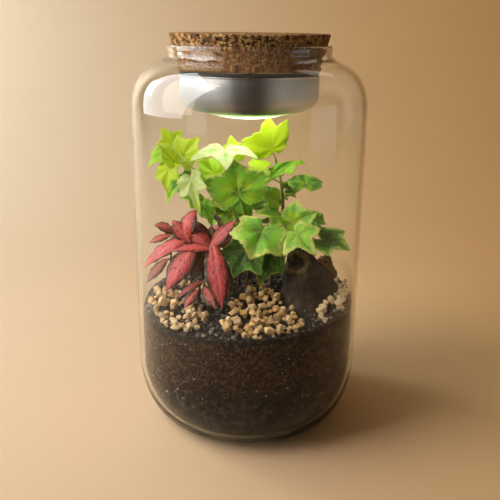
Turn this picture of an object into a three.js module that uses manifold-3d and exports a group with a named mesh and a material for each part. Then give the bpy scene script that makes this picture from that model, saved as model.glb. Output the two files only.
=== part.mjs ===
// Glass plant terrarium: a jar with a lamp in its cork stopper, layers of drainage, soil and charcoal,
// gravel, a rock, ivy and a red mosaic plant. Millimetres, +Z up.
// The origin is the centre of the jar's foot, on the surface that it stands on.
import * as THREE from "three";
import { ConvexGeometry } from "three/addons/geometries/ConvexGeometry.js";
import { mergeVertices } from "three/addons/utils/BufferGeometryUtils.js";
import Module from "manifold-3d";

const wasm = await Module();
wasm.setup();

// Clearance between pieces that touch, and the number of flat sides of each round piece.
const GAP = 0.3;
const SIDES = 32;

// Jar
const JAR_RADIUS = 87.5;
const GLASS = 3;
const FLOOR_TOP = 5.5;
const PUNT_HEIGHT = 2.2;
const FOOT_INNER = 47;
const FOOT_OUTER = 58;
const HEEL_CENTRE = 59.5;
const HEEL_TOP = 52;
const HEEL_STEPS = 4;
const SHOULDER_BOTTOM = 246;
const SHOULDER_STEPS = 4;
const MOUTH_RADIUS = 56.4;
const LIP_RADIUS = 60.3;
const LIP_TOP = 292.3;

// Stopper
const CORK_BOTTOM = 275.5;
const CORK_TOP = 300;
const CORK_BOTTOM_RADIUS = 52;
const CORK_TOP_RADIUS = 58.5;
const CORK_EDGE = 0.9;

// Lamp
const PLATE_RADIUS = 51;
const PLATE_BOTTOM = 272.8;
const PLATE_TOP = CORK_BOTTOM - GAP;
const SHELL_RADIUS = 51.5;
const SHELL_WALL = 1.5;
const SHELL_BOTTOM = 246;
const SHELL_TOP = PLATE_BOTTOM - GAP;
const SHELL_CORNER = 12;
const SHELL_MOUTH = 38.5;
const DIFFUSER_SAG = 6.6;
const DIFFUSER_FLANGE = 1.8;
const BOARD_BOTTOM = 252.5;
const BOARD_THICKNESS = 1.6;
const BOARD_RADIUS = 47.8;
const CHIP_COUNT = 12;
const CHIP_RING = 26;
const CHIP_SIZE = 5;
const CHIP_HEIGHT = 1;
const CHIP_SINK = 0.4;
const BATTERY = { length: 50, width: 34, height: 8 };
const LEAD_RADIUS = 0.8;
const LEAD_SPACING = 6;
const SCREW_COUNT = 3;
const SCREW_RING = 40;
const SCREW_RADIUS = 1.6;
const SCREW_LENGTH = 16;
const SCREW_HEAD_RADIUS = 3.2;
const SCREW_HEAD_HEIGHT = 1.8;

// Ground
const DRESSING_DEPTH = 4.5;
const GROUND_RINGS = [28, 58];
const ROOT_DEPTH = 13;
const ROOT_CLEARANCE = 0.7;

// Plants
const BLADE = 0.8;
const PETIOLE_RADIUS = 0.8;
const STEM_NODES = 32;
const IVY_SEAT = -0.09;
const MOSAIC_SEAT = 0.07;

const terrarium = new THREE.Group();

function finish(color, roughness, metalness = 0) {
  return new THREE.MeshStandardMaterial({ color, roughness, metalness });
}

const FINISH = {
  glass: new THREE.MeshStandardMaterial({
    color: 0xe8efec,
    roughness: 0.05,
    transparent: true,
    opacity: 0.3,
  }),
  cork: finish(0xb98a58, 0.9),
  aluminium: finish(0xb4b3b1, 0.35, 1),
  blackPlastic: finish(0x161616, 0.5),
  diffuser: finish(0xf6f8f2, 0.4),
  board: finish(0xe9ece8, 0.5),
  battery: finish(0x3c4a5c, 0.5),
  steel: finish(0x9a9a98, 0.35, 1),
  redLead: finish(0xa52a22, 0.5),
  blackLead: finish(0x151515, 0.5),
  drainage: finish(0x241d19, 0.95),
  soil: finish(0x4a3220, 0.95),
  charcoal: finish(0x2b2825, 0.9),
  gravel: finish(0xd9bd92, 0.8),
  rock: finish(0x4a4036, 0.9),
  moss: finish(0x6a5c35, 0.95),
  ivy: finish(0x6fae3c, 0.45),
  mosaicPlant: finish(0xc4434a, 0.5),
};

// A closed mesh as a solid that can be joined to others and cut by them.
function solidOf(geometry) {
  const bare = geometry.clone();
  bare.deleteAttribute("normal");
  bare.deleteAttribute("uv");
  const welded = mergeVertices(bare, 1e-4);
  const vertProperties = welded.attributes.position.array;
  const triVerts = new Uint32Array(welded.index.array);
  return new wasm.Manifold(new wasm.Mesh({ numProp: 3, vertProperties, triVerts }));
}

// The faces of a solid. Only its largest body is kept, so a chip that a cut leaves loose is dropped.
function geometryOf(solid) {
  const bodies = solid.decompose().sort((a, b) => b.volume() - a.volume());
  const mesh = bodies[0].getMesh();
  const geometry = new THREE.BufferGeometry();
  geometry.setAttribute("position", new THREE.BufferAttribute(mesh.vertProperties, 3));
  geometry.setIndex(new THREE.BufferAttribute(mesh.triVerts, 1));
  return geometry;
}

function join(geometries) {
  return geometries.map(solidOf).reduce((whole, part) => whole.add(part));
}

function add(name, geometry, material) {
  const mesh = new THREE.Mesh(geometry, material);
  mesh.name = name;
  terrarium.add(mesh);
}

// A closed mesh from its corners and its faces, each face a list of three or more corner numbers.
function polyhedron(corners, faces) {
  const index = faces.flatMap((face) => face.slice(2).flatMap((_, i) => [face[0], face[i + 1], face[i + 2]]));
  const geometry = new THREE.BufferGeometry();
  geometry.setAttribute("position", new THREE.Float32BufferAttribute(corners.flat(), 3));
  geometry.setIndex(index);
  return geometry;
}

// A turned piece: its outline, as radius and height, runs up the outside and back down the inside.
function turned(outline, sides = SIDES) {
  const points = outline.map(([radius, height]) => new THREE.Vector2(radius, height));
  const onAxis = points[0].x === 0 && points.at(-1).x === 0;
  const closed = onAxis ? points : [...points, points[0].clone()];
  return new THREE.LatheGeometry(closed, sides).rotateX(Math.PI / 2);
}

function cylinder(radius, bottom, top, x, y, sides) {
  const geometry = new THREE.CylinderGeometry(radius, radius, top - bottom, sides);
  return geometry.rotateX(Math.PI / 2).translate(x, y, (top + bottom) / 2);
}

function box(sizeX, sizeY, sizeZ, x, y, z) {
  return new THREE.BoxGeometry(sizeX, sizeY, sizeZ).translate(x, y, z);
}

// A round rod along a smooth line through the points.
function rod(points, radius, sides, steps) {
  const section = new THREE.Shape();
  for (let i = 0; i < sides; i++) {
    const turn = (2 * Math.PI * i) / sides;
    const corner = [radius * Math.cos(turn), radius * Math.sin(turn)];
    if (i === 0) section.moveTo(...corner);
    else section.lineTo(...corner);
  }
  const extrudePath = new THREE.CatmullRomCurve3(points);
  return new THREE.ExtrudeGeometry(section, { steps, extrudePath, bevelEnabled: false });
}

// Even random numbers from 0 to 1, the same on each run.
function seeded(seed) {
  let state = seed;
  return () => {
    state = (Math.imul(1664525, state) + 1013904223) >>> 0;
    return state / 4294967296;
  };
}

// Jar

const shoulder = new THREE.CubicBezierCurve(
  new THREE.Vector2(JAR_RADIUS, SHOULDER_BOTTOM),
  new THREE.Vector2(JAR_RADIUS, SHOULDER_BOTTOM + 18),
  new THREE.Vector2(81, 275),
  new THREE.Vector2(66.9, 280.4),
);

// The heel is a quarter of an ellipse, from the foot up to the straight wall.
function heel(inset, bottom) {
  const points = [];
  for (let i = 0; i <= HEEL_STEPS; i++) {
    const turn = (Math.PI / 2) * (i / HEEL_STEPS);
    const reach = JAR_RADIUS - inset - HEEL_CENTRE;
    points.push([HEEL_CENTRE + reach * Math.sin(turn), HEEL_TOP - (HEEL_TOP - bottom) * Math.cos(turn)]);
  }
  return points;
}

function shoulderPoints(inset) {
  const points = [];
  for (let i = 0; i <= SHOULDER_STEPS; i++) {
    const point = shoulder.getPoint(i / SHOULDER_STEPS);
    const along = shoulder.getTangent(i / SHOULDER_STEPS);
    points.push([point.x - inset * along.y, point.y + inset * along.x]);
  }
  return points;
}

const innerHeel = heel(GLASS, FLOOR_TOP);

function jar() {
  return turned([
    [0, PUNT_HEIGHT],
    [FOOT_INNER - 4, PUNT_HEIGHT],
    [FOOT_INNER, 0],
    [FOOT_OUTER, 0],
    ...heel(0, 0).slice(1),
    ...shoulderPoints(0),
    [63.4, 282.2],
    [60.4, 284.8],
    [59.9, 286.6],
    [LIP_RADIUS, 288.4],
    [LIP_RADIUS, LIP_TOP - 1.1],
    [LIP_RADIUS - 1.1, LIP_TOP],
    [MOUTH_RADIUS + 1, LIP_TOP],
    [MOUTH_RADIUS, LIP_TOP - 1.2],
    [MOUTH_RADIUS, 285.4],
    [57.6, 282.2],
    [60.4, 280],
    ...shoulderPoints(GLASS).reverse(),
    ...innerHeel.slice().reverse(),
    [0, FLOOR_TOP],
  ]);
}

// Stopper and lamp

function screwSpots() {
  const spots = [];
  for (let i = 0; i < SCREW_COUNT; i++) {
    const turn = (2 * Math.PI * (i + 0.25)) / SCREW_COUNT;
    spots.push([SCREW_RING * Math.cos(turn), SCREW_RING * Math.sin(turn)]);
  }
  return spots;
}

function withScrewHoles(geometry, bottom, top) {
  const holes = screwSpots().map(([x, y]) => cylinder(SCREW_RADIUS + 2 * GAP, bottom, top, x, y, 8));
  return geometryOf(holes.reduce((left, hole) => left.subtract(solidOf(hole)), solidOf(geometry)));
}

function corkStopper() {
  const taper = turned([
    [0, CORK_BOTTOM],
    [CORK_BOTTOM_RADIUS - CORK_EDGE, CORK_BOTTOM],
    [CORK_BOTTOM_RADIUS, CORK_BOTTOM + CORK_EDGE],
    [CORK_TOP_RADIUS, CORK_TOP - CORK_EDGE],
    [CORK_TOP_RADIUS - CORK_EDGE, CORK_TOP],
    [0, CORK_TOP],
  ]);
  return withScrewHoles(taper, CORK_BOTTOM - 1, PLATE_BOTTOM + SCREW_LENGTH);
}

function lampBackPlate() {
  const disc = turned([
    [0, PLATE_BOTTOM],
    [PLATE_RADIUS, PLATE_BOTTOM],
    [PLATE_RADIUS, PLATE_TOP],
    [0, PLATE_TOP],
  ]);
  return withScrewHoles(disc, PLATE_BOTTOM - 1, PLATE_TOP + 1);
}

function lampScrew(x, y) {
  const headTop = PLATE_BOTTOM - GAP;
  const head = cylinder(SCREW_HEAD_RADIUS, headTop - SCREW_HEAD_HEIGHT, headTop, x, y, 8);
  const shank = cylinder(SCREW_RADIUS, headTop - 0.5, PLATE_BOTTOM + SCREW_LENGTH - 0.5, x, y, 8);
  return geometryOf(join([head, shank]));
}

// The shell is a straight wall with a large round lower edge that turns in to the mouth.
function lampShell() {
  const edge = (radius, startTurn, endTurn) => {
    const points = [];
    const steps = 4;
    for (let i = 0; i <= steps; i++) {
      const turn = startTurn + ((endTurn - startTurn) * i) / steps;
      const centre = [SHELL_RADIUS - SHELL_CORNER, SHELL_BOTTOM + SHELL_CORNER];
      points.push([centre[0] + radius * Math.cos(turn), centre[1] + radius * Math.sin(turn)]);
    }
    return points;
  };
  return turned([
    [SHELL_MOUTH, SHELL_BOTTOM],
    ...edge(SHELL_CORNER, -Math.PI / 2, 0),
    [SHELL_RADIUS, SHELL_TOP],
    [SHELL_RADIUS - SHELL_WALL, SHELL_TOP],
    ...edge(SHELL_CORNER - SHELL_WALL, 0, -Math.PI / 2),
    [SHELL_MOUTH, SHELL_BOTTOM + SHELL_WALL],
  ]);
}

// The lens hangs in the mouth by a flange that lies on the shell.
function lampDiffuser() {
  const rim = SHELL_MOUTH - GAP;
  const seat = SHELL_BOTTOM + SHELL_WALL + GAP;
  const flange = SHELL_MOUTH + DIFFUSER_FLANGE;
  const dome = (radius) => SHELL_BOTTOM - DIFFUSER_SAG * (1 - (radius / rim) ** 2);
  return turned([
    [0, dome(0)],
    [rim / 3, dome(rim / 3)],
    [(2 * rim) / 3, dome((2 * rim) / 3)],
    [rim, SHELL_BOTTOM],
    [rim, seat],
    [flange, seat],
    [flange, seat + SHELL_WALL],
    [rim - SHELL_WALL, seat + SHELL_WALL],
    [(2 * rim) / 3, dome((2 * rim) / 3) + SHELL_WALL],
    [0, dome(0) + SHELL_WALL],
  ]);
}

function ledBoard() {
  const disc = cylinder(BOARD_RADIUS, BOARD_BOTTOM, BOARD_BOTTOM + BOARD_THICKNESS, 0, 0, SIDES);
  const chips = [];
  for (let i = 0; i < CHIP_COUNT; i++) {
    const turn = (2 * Math.PI * i) / CHIP_COUNT;
    const middle = BOARD_BOTTOM + (CHIP_SINK - CHIP_HEIGHT) / 2;
    const chip = box(CHIP_SIZE, CHIP_SIZE, CHIP_HEIGHT + CHIP_SINK, CHIP_RING, 0, middle);
    chips.push(chip.rotateZ(turn));
  }
  return geometryOf(join([disc, ...chips]));
}

function batteryPack() {
  const { length, width, height } = BATTERY;
  return box(length, width, height, 0, 0, PLATE_BOTTOM - GAP - height / 2);
}

function batteryLead(side) {
  const top = PLATE_BOTTOM - 2 * GAP - BATTERY.height;
  const bottom = BOARD_BOTTOM + BOARD_THICKNESS + GAP;
  return cylinder(LEAD_RADIUS, bottom, top, (side * LEAD_SPACING) / 2, 0, 6);
}

// Ground

function drainageHeight(x, y) {
  return 42.5 + 2.2 * Math.sin(x / 17 + 1) + 1.8 * Math.cos(y / 13);
}

function groundHeight(x, y) {
  const mound = 6 * Math.exp(-(x * x + (y - 8) ** 2) / 3600);
  const waves = 1.3 * Math.sin(x / 11 + 0.4) * Math.cos(y / 15 + 0.6);
  return 97 + 0.045 * x + 0.03 * y + mound + waves;
}

function soilHeight(x, y) {
  return groundHeight(x, y) - DRESSING_DEPTH;
}

// Inside radius of the jar at a height on the heel or the straight wall.
function insideRadius(height) {
  const above = innerHeel.findIndex(([, z]) => z > height);
  if (above < 1) return above === 0 ? HEEL_CENTRE : JAR_RADIUS - GLASS;
  const [lowRadius, lowZ] = innerHeel[above - 1];
  const [highRadius, highZ] = innerHeel[above];
  return lowRadius + ((highRadius - lowRadius) * (height - lowZ)) / (highZ - lowZ);
}

// A filling of the jar, between an uneven underside and an uneven top. The points of each of its
// sectors run out along the underside, up along the glass and back in over the top. The squares of
// the two surfaces are split the same way, so that a layer lies evenly on the one below.
function layer(under, top, glassPoints) {
  const corners = [];
  const faces = [];
  const rise = (height, x, y, lift) => (typeof height === "number" ? height : height(x, y)) + lift;
  const onAxis = [rise(under, 0, 0, GAP), rise(top, 0, 0, 0)];
  corners.push([0, 0, onAxis[0]], [0, 0, onAxis[1]]);
  let rows = 0;
  for (let i = 0; i < SIDES; i++) {
    const turn = (2 * Math.PI * i) / SIDES;
    const place = (radius, z) => [radius * Math.cos(turn), radius * Math.sin(turn), z];
    const column = [];
    const wallAt = (height, lift) => {
      const [x, y] = place(JAR_RADIUS - GLASS - GAP, 0);
      const z = rise(height, x, y, lift);
      return place(insideRadius(z) - GAP, z);
    };
    for (const radius of GROUND_RINGS) {
      const [x, y] = place(radius, 0);
      const onFloor = typeof under === "number";
      if (!onFloor || radius < HEEL_CENTRE) column.push(place(radius, rise(under, x, y, GAP)));
    }
    if (typeof under !== "number") column.push(wallAt(under, GAP));
    for (const [radius, z] of glassPoints) column.push(place(radius - GAP, z + GAP));
    column.push(wallAt(top, 0));
    for (const radius of GROUND_RINGS.slice().reverse()) {
      const [x, y] = place(radius, 0);
      column.push(place(radius, rise(top, x, y, 0)));
    }
    rows = column.length;
    corners.push(...column);
  }
  const corner = (sector, row) => 2 + (sector % SIDES) * rows + row;
  for (let i = 0; i < SIDES; i++) {
    faces.push([0, corner(i + 1, 0), corner(i, 0)]);
    for (let row = 0; row + 1 < rows; row++) {
      const quad = [corner(i, row), corner(i + 1, row), corner(i + 1, row + 1), corner(i, row + 1)];
      faces.push(row < rows - 1 - GROUND_RINGS.length ? quad : [...quad.slice(1), quad[0]]);
    }
    faces.push([1, corner(i, rows - 1), corner(i + 1, rows - 1)]);
  }
  return polyhedron(corners, faces);
}

// Everything up to a little above the ground, which cuts the undersides of what lies on it.
const groundCut = solidOf(layer(0, (x, y) => groundHeight(x, y) + GAP, []));

// Plants

// Each leaf gives the base of its blade, its tip, the way its upper face looks and its breadth, as a
// multiple of the usual one. Each stem leaves the ground at its root and climbs through the points.
const IVY = {
  ivy_left: {
    root: [-7, 8],
    radius: 1.3,
    path: [
      [-6, 6, 125],
      [-4, 0, 148],
      [-8, -8, 163],
      [-20, -10, 184],
      [-33, -8, 195],
      [-44, -6, 204],
      [-54, 0, 213],
    ],
    leaves: [
      [[-60, 12, 218], [-68, 16, 229], [0.1, -0.8, 0.6], 1],
      [[-63, 0, 214], [-78, -5, 202], [-0.2, -0.7, 0.7], 0.9],
      [[-56, -14, 209], [-67, -18, 224], [0.2, -0.8, 0.5], 0.8],
      [[-50, 1, 210], [-38, 5, 225], [0, -0.8, 0.6], 0.9],
      [[-60, -10, 202], [-61, -18, 187], [-0.3, -0.8, 0.4], 0.8],
      [[-42, -22, 197], [-33, -31, 172], [-0.3, -0.9, 0.3], 0.65],
      [[-54, -4, 190], [-62, -10, 174], [-0.6, -0.7, 0.3], 0.7],
      [[-37, -2, 174], [-53, -8, 181], [0, -0.5, 0.85], 0.75],
      [[-46, 7, 192], [-56, 5, 180], [0.3, -0.8, 0.5], 0.7],
      [[-27, 4, 196], [-41, 10, 206], [0, -0.7, 0.7], 0.9],
      [[-33, -13, 174], [-27, -19, 160], [0.5, -0.8, 0.3], 0.6],
    ],
  },
  ivy_middle: {
    root: [0, -2],
    radius: 1.3,
    path: [[1, -2, 130], [-2, -6, 165], [-6, -13, 182], [-9, -9, 196], [-15, -6, 208]],
    leaves: [
      [[-18, -11, 216], [-17, -32, 205], [0, -0.4, 0.9], 1.15],
      [[-12, 14, 209], [-14, 20, 223], [0, -0.75, 0.65], 0.9],
      [[-7, -22, 187], [-11, -12, 212], [0, -0.8, 0.6], 1.2],
      [[-13, 9, 178], [-28, 3, 170], [-0.1, -0.85, 0.5], 1.1],
      [[-9, 12, 170], [-15, 6, 156], [-0.1, -0.9, 0.4], 1.1],
      [[-5, 2, 177], [3, -4, 164], [0.1, -0.9, 0.3], 0.9],
      [[3, -5, 202], [17, -12, 196], [0.1, -0.6, 0.8], 0.85],
    ],
  },
  ivy_tall: {
    root: [14, 8],
    radius: 1.6,
    path: [[15, 6, 125], [20, 4, 146], [27, 4, 166], [26, 5, 186], [23, 9, 198], [21, 8, 207]],
    leaves: [
      [[18, 5, 215], [15, 8, 239], [0, -0.93, 0.35], 1.1],
      [[19, -1, 196], [38, -1, 207], [0.1, -0.75, 0.65], 0.5],
      [[46, 4, 184], [47, 16, 193], [0, -0.6, 0.75], 1.3],
      [[21, -10, 179], [11, -15, 185], [0, -0.8, 0.6], 0.9],
      [[31, 18, 181], [40, 24, 180], [0, -0.8, 0.6], 1],
      [[18, 9, 177], [5, 0, 170], [0, -0.8, 0.6], 0.85],
      [[30, 20, 196], [42, 34, 203], [0.2, 0.5, 0.85], 1],
      [[20, 22, 178], [10, 38, 180], [0, 0.5, 0.85], 1.1],
    ],
  },
  ivy_front: {
    root: [8, -14],
    radius: 1.3,
    path: [[8, -14, 122], [6, -15, 145], [12, -17, 160]],
    leaves: [
      [[11, -37, 162], [2, -49, 142], [0, -0.88, 0.47], 1.15],
      [[23, -18, 167], [6, -27, 175], [0, -0.5, 0.85], 0.8],
      [[1, -29, 146], [-11, -36, 124], [-0.2, -0.9, 0.3], 0.9],
      [[16, -23, 145], [9, -30, 116], [0.1, -0.9, 0.35], 0.65],
      [[34, -21, 165], [52, -25, 174], [0.1, -0.85, 0.5], 0.95],
      [[38, -37, 158], [49, -48, 147], [0.1, -0.8, 0.6], 0.8],
    ],
  },
  ivy_right: {
    root: [19, -7],
    radius: 1.3,
    path: [[19, -7, 122], [24, -8, 146], [33, -10, 157], [45, -6, 152]],
    leaves: [
      [[61, 8, 142], [81, -3, 137], [0.2, -0.7, 0.7], 0.9],
      [[52, 6, 160], [62, 2, 157], [0, -0.7, 0.7], 0.9],
      [[44, 14, 152], [60, 26, 146], [0.4, 0.5, 0.8], 1.1],
    ],
  },
  ivy_back: {
    root: [2, 30],
    radius: 1.3,
    path: [[2, 31, 130], [-2, 34, 155], [-10, 38, 176], [-22, 38, 188]],
    leaves: [
      [[-27, 34, 197], [-48, 38, 202], [-0.3, 0.4, 0.85], 1.05],
      [[-13, 49, 184], [-19, 67, 168], [-0.1, 0.9, 0.4], 1.1],
      [[4, 46, 165], [14, 62, 148], [0.2, 0.9, 0.4], 1.1],
      [[-16, 44, 158], [-36, 52, 146], [-0.4, 0.8, 0.4], 1.1],
      [[12, 34, 150], [34, 42, 146], [0.3, 0.5, 0.8], 1],
      [[-13, 35, 151], [-32, 40, 147], [-0.4, -0.3, 0.85], 0.9],
    ],
  },
};

const MOSAIC = {
  mosaic_plant_front: {
    root: [-24, -20],
    radius: 1.3,
    path: [[-24, -21, 122], [-26, -26, 143]],
    leaves: [
      [[-22, -15, 157], [-33, -5, 171], [0.3, 0.6, 0.7], 0.55, 0.2],
      [[-25, -30, 149], [-8, -28, 168], [-0.5, -0.6, 0.6], 0.5, 0.12],
      [[-28, -32, 145], [-55, -47, 149], [0, -0.4, 0.9], 0.32, 0.1],
      [[-29, -27, 146], [-42, -26, 158], [-0.3, -0.8, 0.5], 0.6, 0.1],
      [[-25, -34, 145], [-18, -54, 108], [0, -0.9, 0.45], 0.45, 0.12],
      [[-17, -22, 126], [-14, -30, 107], [0.3, -0.9, 0.2], 0.4, 0.1],
      [[-21, -16, 145], [-7, -14, 152], [0.2, -0.8, 0.5], 0.6, 0.1],
      [[-31, -20, 147], [-42, -10, 163], [0, -0.9, 0.4], 0.5, 0.1],
      [[-27, -14, 144], [-29, -2, 156], [0, -0.6, 0.8], 0.5, 0.1],
      [[-34, -22, 140], [-43, -26, 121], [0.4, 0.85, 0.3], 0.6, 0.1],
    ],
  },
  mosaic_plant_left: {
    root: [-44, -12],
    radius: 1.3,
    path: [[-45, -13, 125], [-45, -17, 144]],
    leaves: [
      [[-45, -20, 150], [-57, -19, 165], [-0.3, -0.8, 0.5], 0.5, 0.12],
      [[-43, -20, 152], [-38, -14, 173], [-0.7, -0.5, 0.4], 0.5, 0.22],
      [[-49, -19, 147], [-79, -24, 128], [-0.2, -0.6, 0.8], 0.33, 0.15],
      [[-43, -25, 142], [-60, -41, 116], [-0.3, -0.85, 0.4], 0.5, 0.1],
      [[-46, -9, 145], [-60, -7, 150], [0, -0.5, 0.85], 0.6, 0.1],
    ],
  },
  mosaic_plant_far_left: {
    root: [-62, 6],
    radius: 1.2,
    path: [[-62, 5, 122], [-61, 1, 143]],
    leaves: [
      [[-59, -4, 152], [-72, -13, 159], [0.1, -0.6, 0.8], 0.4, 0.12],
      [[-64, 0, 146], [-78, -6, 142], [0, -0.5, 0.85], 0.45, 0.1],
      [[-66, -4, 126], [-79, -14, 112], [-0.3, -0.6, 0.7], 0.45, 0.1],
      [[-64, 6, 144], [-76, 20, 136], [-0.4, 0.3, 0.85], 0.5, 0.15],
      [[-58, 8, 146], [-54, 28, 150], [0, 0.4, 0.9], 0.5, 0.15],
    ],
  },
  mosaic_plant_low: {
    root: [-32, -32],
    radius: 1.1,
    path: [[-33, -33, 118]],
    leaves: [
      [[-31, -38, 116], [-23, -52, 107], [0, -0.6, 0.8], 0.65, 0.12],
      [[-36, -33, 119], [-51, -39, 110], [-0.2, -0.5, 0.85], 0.42, 0.15],
      [[-38, -39, 114], [-46, -51, 106], [-0.1, -0.6, 0.8], 0.5, 0.15],
    ],
  },
  mosaic_plant_back: {
    root: [-38, 26],
    radius: 1.2,
    path: [[-38, 26, 118], [-38, 27, 134]],
    leaves: [
      [[-40, 30, 138], [-58, 44, 132], [-0.3, 0.5, 0.8], 0.5, 0.18],
      [[-36, 31, 138], [-28, 54, 124], [0, 0.7, 0.7], 0.5, 0.15],
      [[-42, 25, 139], [-64, 30, 142], [-0.2, 0.2, 0.95], 0.45, 0.15],
      [[-34, 26, 140], [-16, 22, 150], [-0.2, -0.2, 0.95], 0.45, 0.12],
      [[-38, 33, 130], [-46, 52, 112], [-0.2, 0.9, 0.4], 0.5, 0.1],
    ],
  },
};

const vector = ([x, y, z]) => new THREE.Vector3(x, y, z);

// Directions of a blade: along it, across it and out of its upper face.
function bladeFrame(base, tip, face) {
  const along = tip.clone().sub(base).normalize();
  const out = face.clone().addScaledVector(along, -face.dot(along)).normalize();
  const across = new THREE.Vector3().crossVectors(out, along);
  return { along, out, across, length: tip.distanceTo(base) };
}

// Half of the five-lobed outline of an ivy leaf: angle from the main lobe and distance from the base.
const IVY_OUTLINE = [
  [0, 1],
  [14, 0.8],
  [31, 0.66],
  [57, 0.88],
  [85, 0.63],
  [118, 0.68],
  [150, 0.44],
  [180, 0.16],
];

// How far a point of a blade stands out of its flat frame, with both as multiples of its length.
function ivyLift(x, y) {
  return 0.22 * x * (1 - x) + 0.16 * Math.abs(y) - 0.3 * y * y;
}

function ivyBlade([base, tip, face, breadth]) {
  const origin = vector(base);
  const { along, out, across, length } = bladeFrame(origin, vector(tip), vector(face));
  const half = IVY_OUTLINE.map(([degrees, reach]) => [THREE.MathUtils.degToRad(degrees), reach]);
  const outline = [...half, ...half.slice(1, -1).reverse().map(([turn, reach]) => [-turn, reach])];
  const point = (turn, reach, side) => {
    const x = reach * Math.cos(turn);
    const y = reach * Math.sin(turn) * breadth;
    const place = origin.clone().addScaledVector(along, length * x).addScaledVector(across, length * y);
    return place.addScaledVector(out, length * ivyLift(x, y) + (side * BLADE) / 2).toArray();
  };
  const count = outline.length;
  const corners = [];
  const faces = [];
  for (const side of [-1, 1]) {
    corners.push(point(0, 0, side));
    corners.push(...outline.map(([turn, reach]) => point(turn, reach, side)));
  }
  for (let i = 0; i < count; i++) {
    const low = 1 + i;
    const lowNext = 1 + ((i + 1) % count);
    const high = low + count + 1;
    const highNext = lowNext + count + 1;
    faces.push([0, lowNext, low], [count + 1, high, highNext], [low, lowNext, highNext, high]);
  }
  return polyhedron(corners, faces);
}

// Where a stalk ends in an ivy blade: behind its base, where the blade reaches back on both sides.
function ivySeat([base, tip, face]) {
  const origin = vector(base);
  const { along, out, length } = bladeFrame(origin, vector(tip), vector(face));
  return origin.addScaledVector(along, length * IVY_SEAT).addScaledVector(out, length * ivyLift(IVY_SEAT, 0));
}

// A lance-shaped blade that arches: its middle line bulges out of its upper face.
const MOSAIC_ROWS = [0.16, 0.4, 0.66, 0.88];

function mosaicArch(t, arch) {
  return 4 * arch * t * (1 - t);
}

function mosaicBlade([base, tip, face, breadth, arch]) {
  const origin = vector(base);
  const { along, out, across, length } = bladeFrame(origin, vector(tip), vector(face));
  const point = (t, y, side) => {
    const bulge = mosaicArch(t, arch) - 0.5 * Math.abs(y) * breadth;
    const slope = Math.atan(4 * arch * (1 - 2 * t));
    const thick = (side * BLADE) / 2;
    const place = origin.clone().addScaledVector(along, length * t - thick * Math.sin(slope));
    place.addScaledVector(out, length * bulge + thick * Math.cos(slope));
    return place.addScaledVector(across, length * y).toArray();
  };
  const corners = [];
  for (const side of [-1, 1]) {
    corners.push(point(0, 0, side), point(1, 0, side));
    for (const t of MOSAIC_ROWS) {
      const halfWidth = (breadth / 2) * Math.sin(Math.PI * t ** 0.85) ** 0.8;
      corners.push(point(t, -halfWidth, side), point(t, 0, side), point(t, halfWidth, side));
    }
  }
  const rows = MOSAIC_ROWS.length;
  const sheet = 2 + 3 * rows;
  const edge = [0];
  for (let i = 0; i < rows; i++) edge.push(2 + 3 * i);
  edge.push(1);
  for (let i = rows - 1; i >= 0; i--) edge.push(4 + 3 * i);
  const faces = [];
  for (const side of [0, 1]) {
    const up = (...numbers) => {
      const shifted = numbers.map((number) => number + side * sheet);
      faces.push(side === 1 ? shifted : shifted.reverse());
    };
    const last = 2 + 3 * (rows - 1);
    up(0, 2, 3);
    up(0, 3, 4);
    for (let i = 0; i + 1 < rows; i++) {
      const row = 2 + 3 * i;
      up(row, row + 3, row + 4);
      up(row, row + 4, row + 1);
      up(row + 1, row + 4, row + 2);
      up(row + 4, row + 5, row + 2);
    }
    up(last, 1, last + 1);
    up(last + 1, 1, last + 2);
  }
  edge.forEach((low, i) => {
    const next = edge[(i + 1) % edge.length];
    faces.push([low, next, sheet + next, sheet + low]);
  });
  return polyhedron(corners, faces);
}

function mosaicSeat([base, tip, face, , arch]) {
  const origin = vector(base);
  const { along, out, length } = bladeFrame(origin, vector(tip), vector(face));
  const lift = length * mosaicArch(MOSAIC_SEAT, arch);
  return origin.addScaledVector(along, length * MOSAIC_SEAT).addScaledVector(out, lift);
}

// The stalk of a blade leaves the stem a little lower than the blade, at a node that no other stalk has,
// and comes up behind the blade to its seat in it.
function petiole(freeNodes, [, , face], seat) {
  const aim = seat.clone().sub(new THREE.Vector3(0, 0, 6));
  freeNodes.sort((a, b) => a.distanceTo(aim) - b.distanceTo(aim));
  const start = freeNodes.shift();
  const middle = start.clone().lerp(seat, 0.6).addScaledVector(vector(face), -0.15 * start.distanceTo(seat));
  return rod([start, middle, seat], PETIOLE_RADIUS, 3, 2);
}

function plant({ root, radius, path, leaves }, blade, seatOf) {
  const [x, y] = root;
  const bottom = groundHeight(x, y) - ROOT_DEPTH;
  const points = [[x, y, bottom], [x, y, bottom + 2 * ROOT_DEPTH], ...path].map(vector);
  const nodes = new THREE.CatmullRomCurve3(points).getSpacedPoints(STEM_NODES).slice(0, -1);
  const freeNodes = nodes.filter((node) => node.z > groundHeight(x, y) + GAP + radius);
  const stem = rod(points, radius, 5, points.length + 4);
  const blades = leaves.map(blade);
  const stalks = leaves.map((leaf) => petiole(freeNodes, leaf, seatOf(leaf)));
  return geometryOf(join([stem, ...stalks, ...blades]));
}

function rootHoles(solid) {
  const plants = [...Object.values(IVY), ...Object.values(MOSAIC)];
  return plants.reduce((left, { root: [x, y], radius }) => {
    const top = groundHeight(x, y) + 20;
    const bottom = groundHeight(x, y) - ROOT_DEPTH - 1;
    return left.subtract(solidOf(cylinder(radius + ROOT_CLEARANCE, bottom, top, x, y, 6)));
  }, solid);
}

// Gravel

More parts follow.
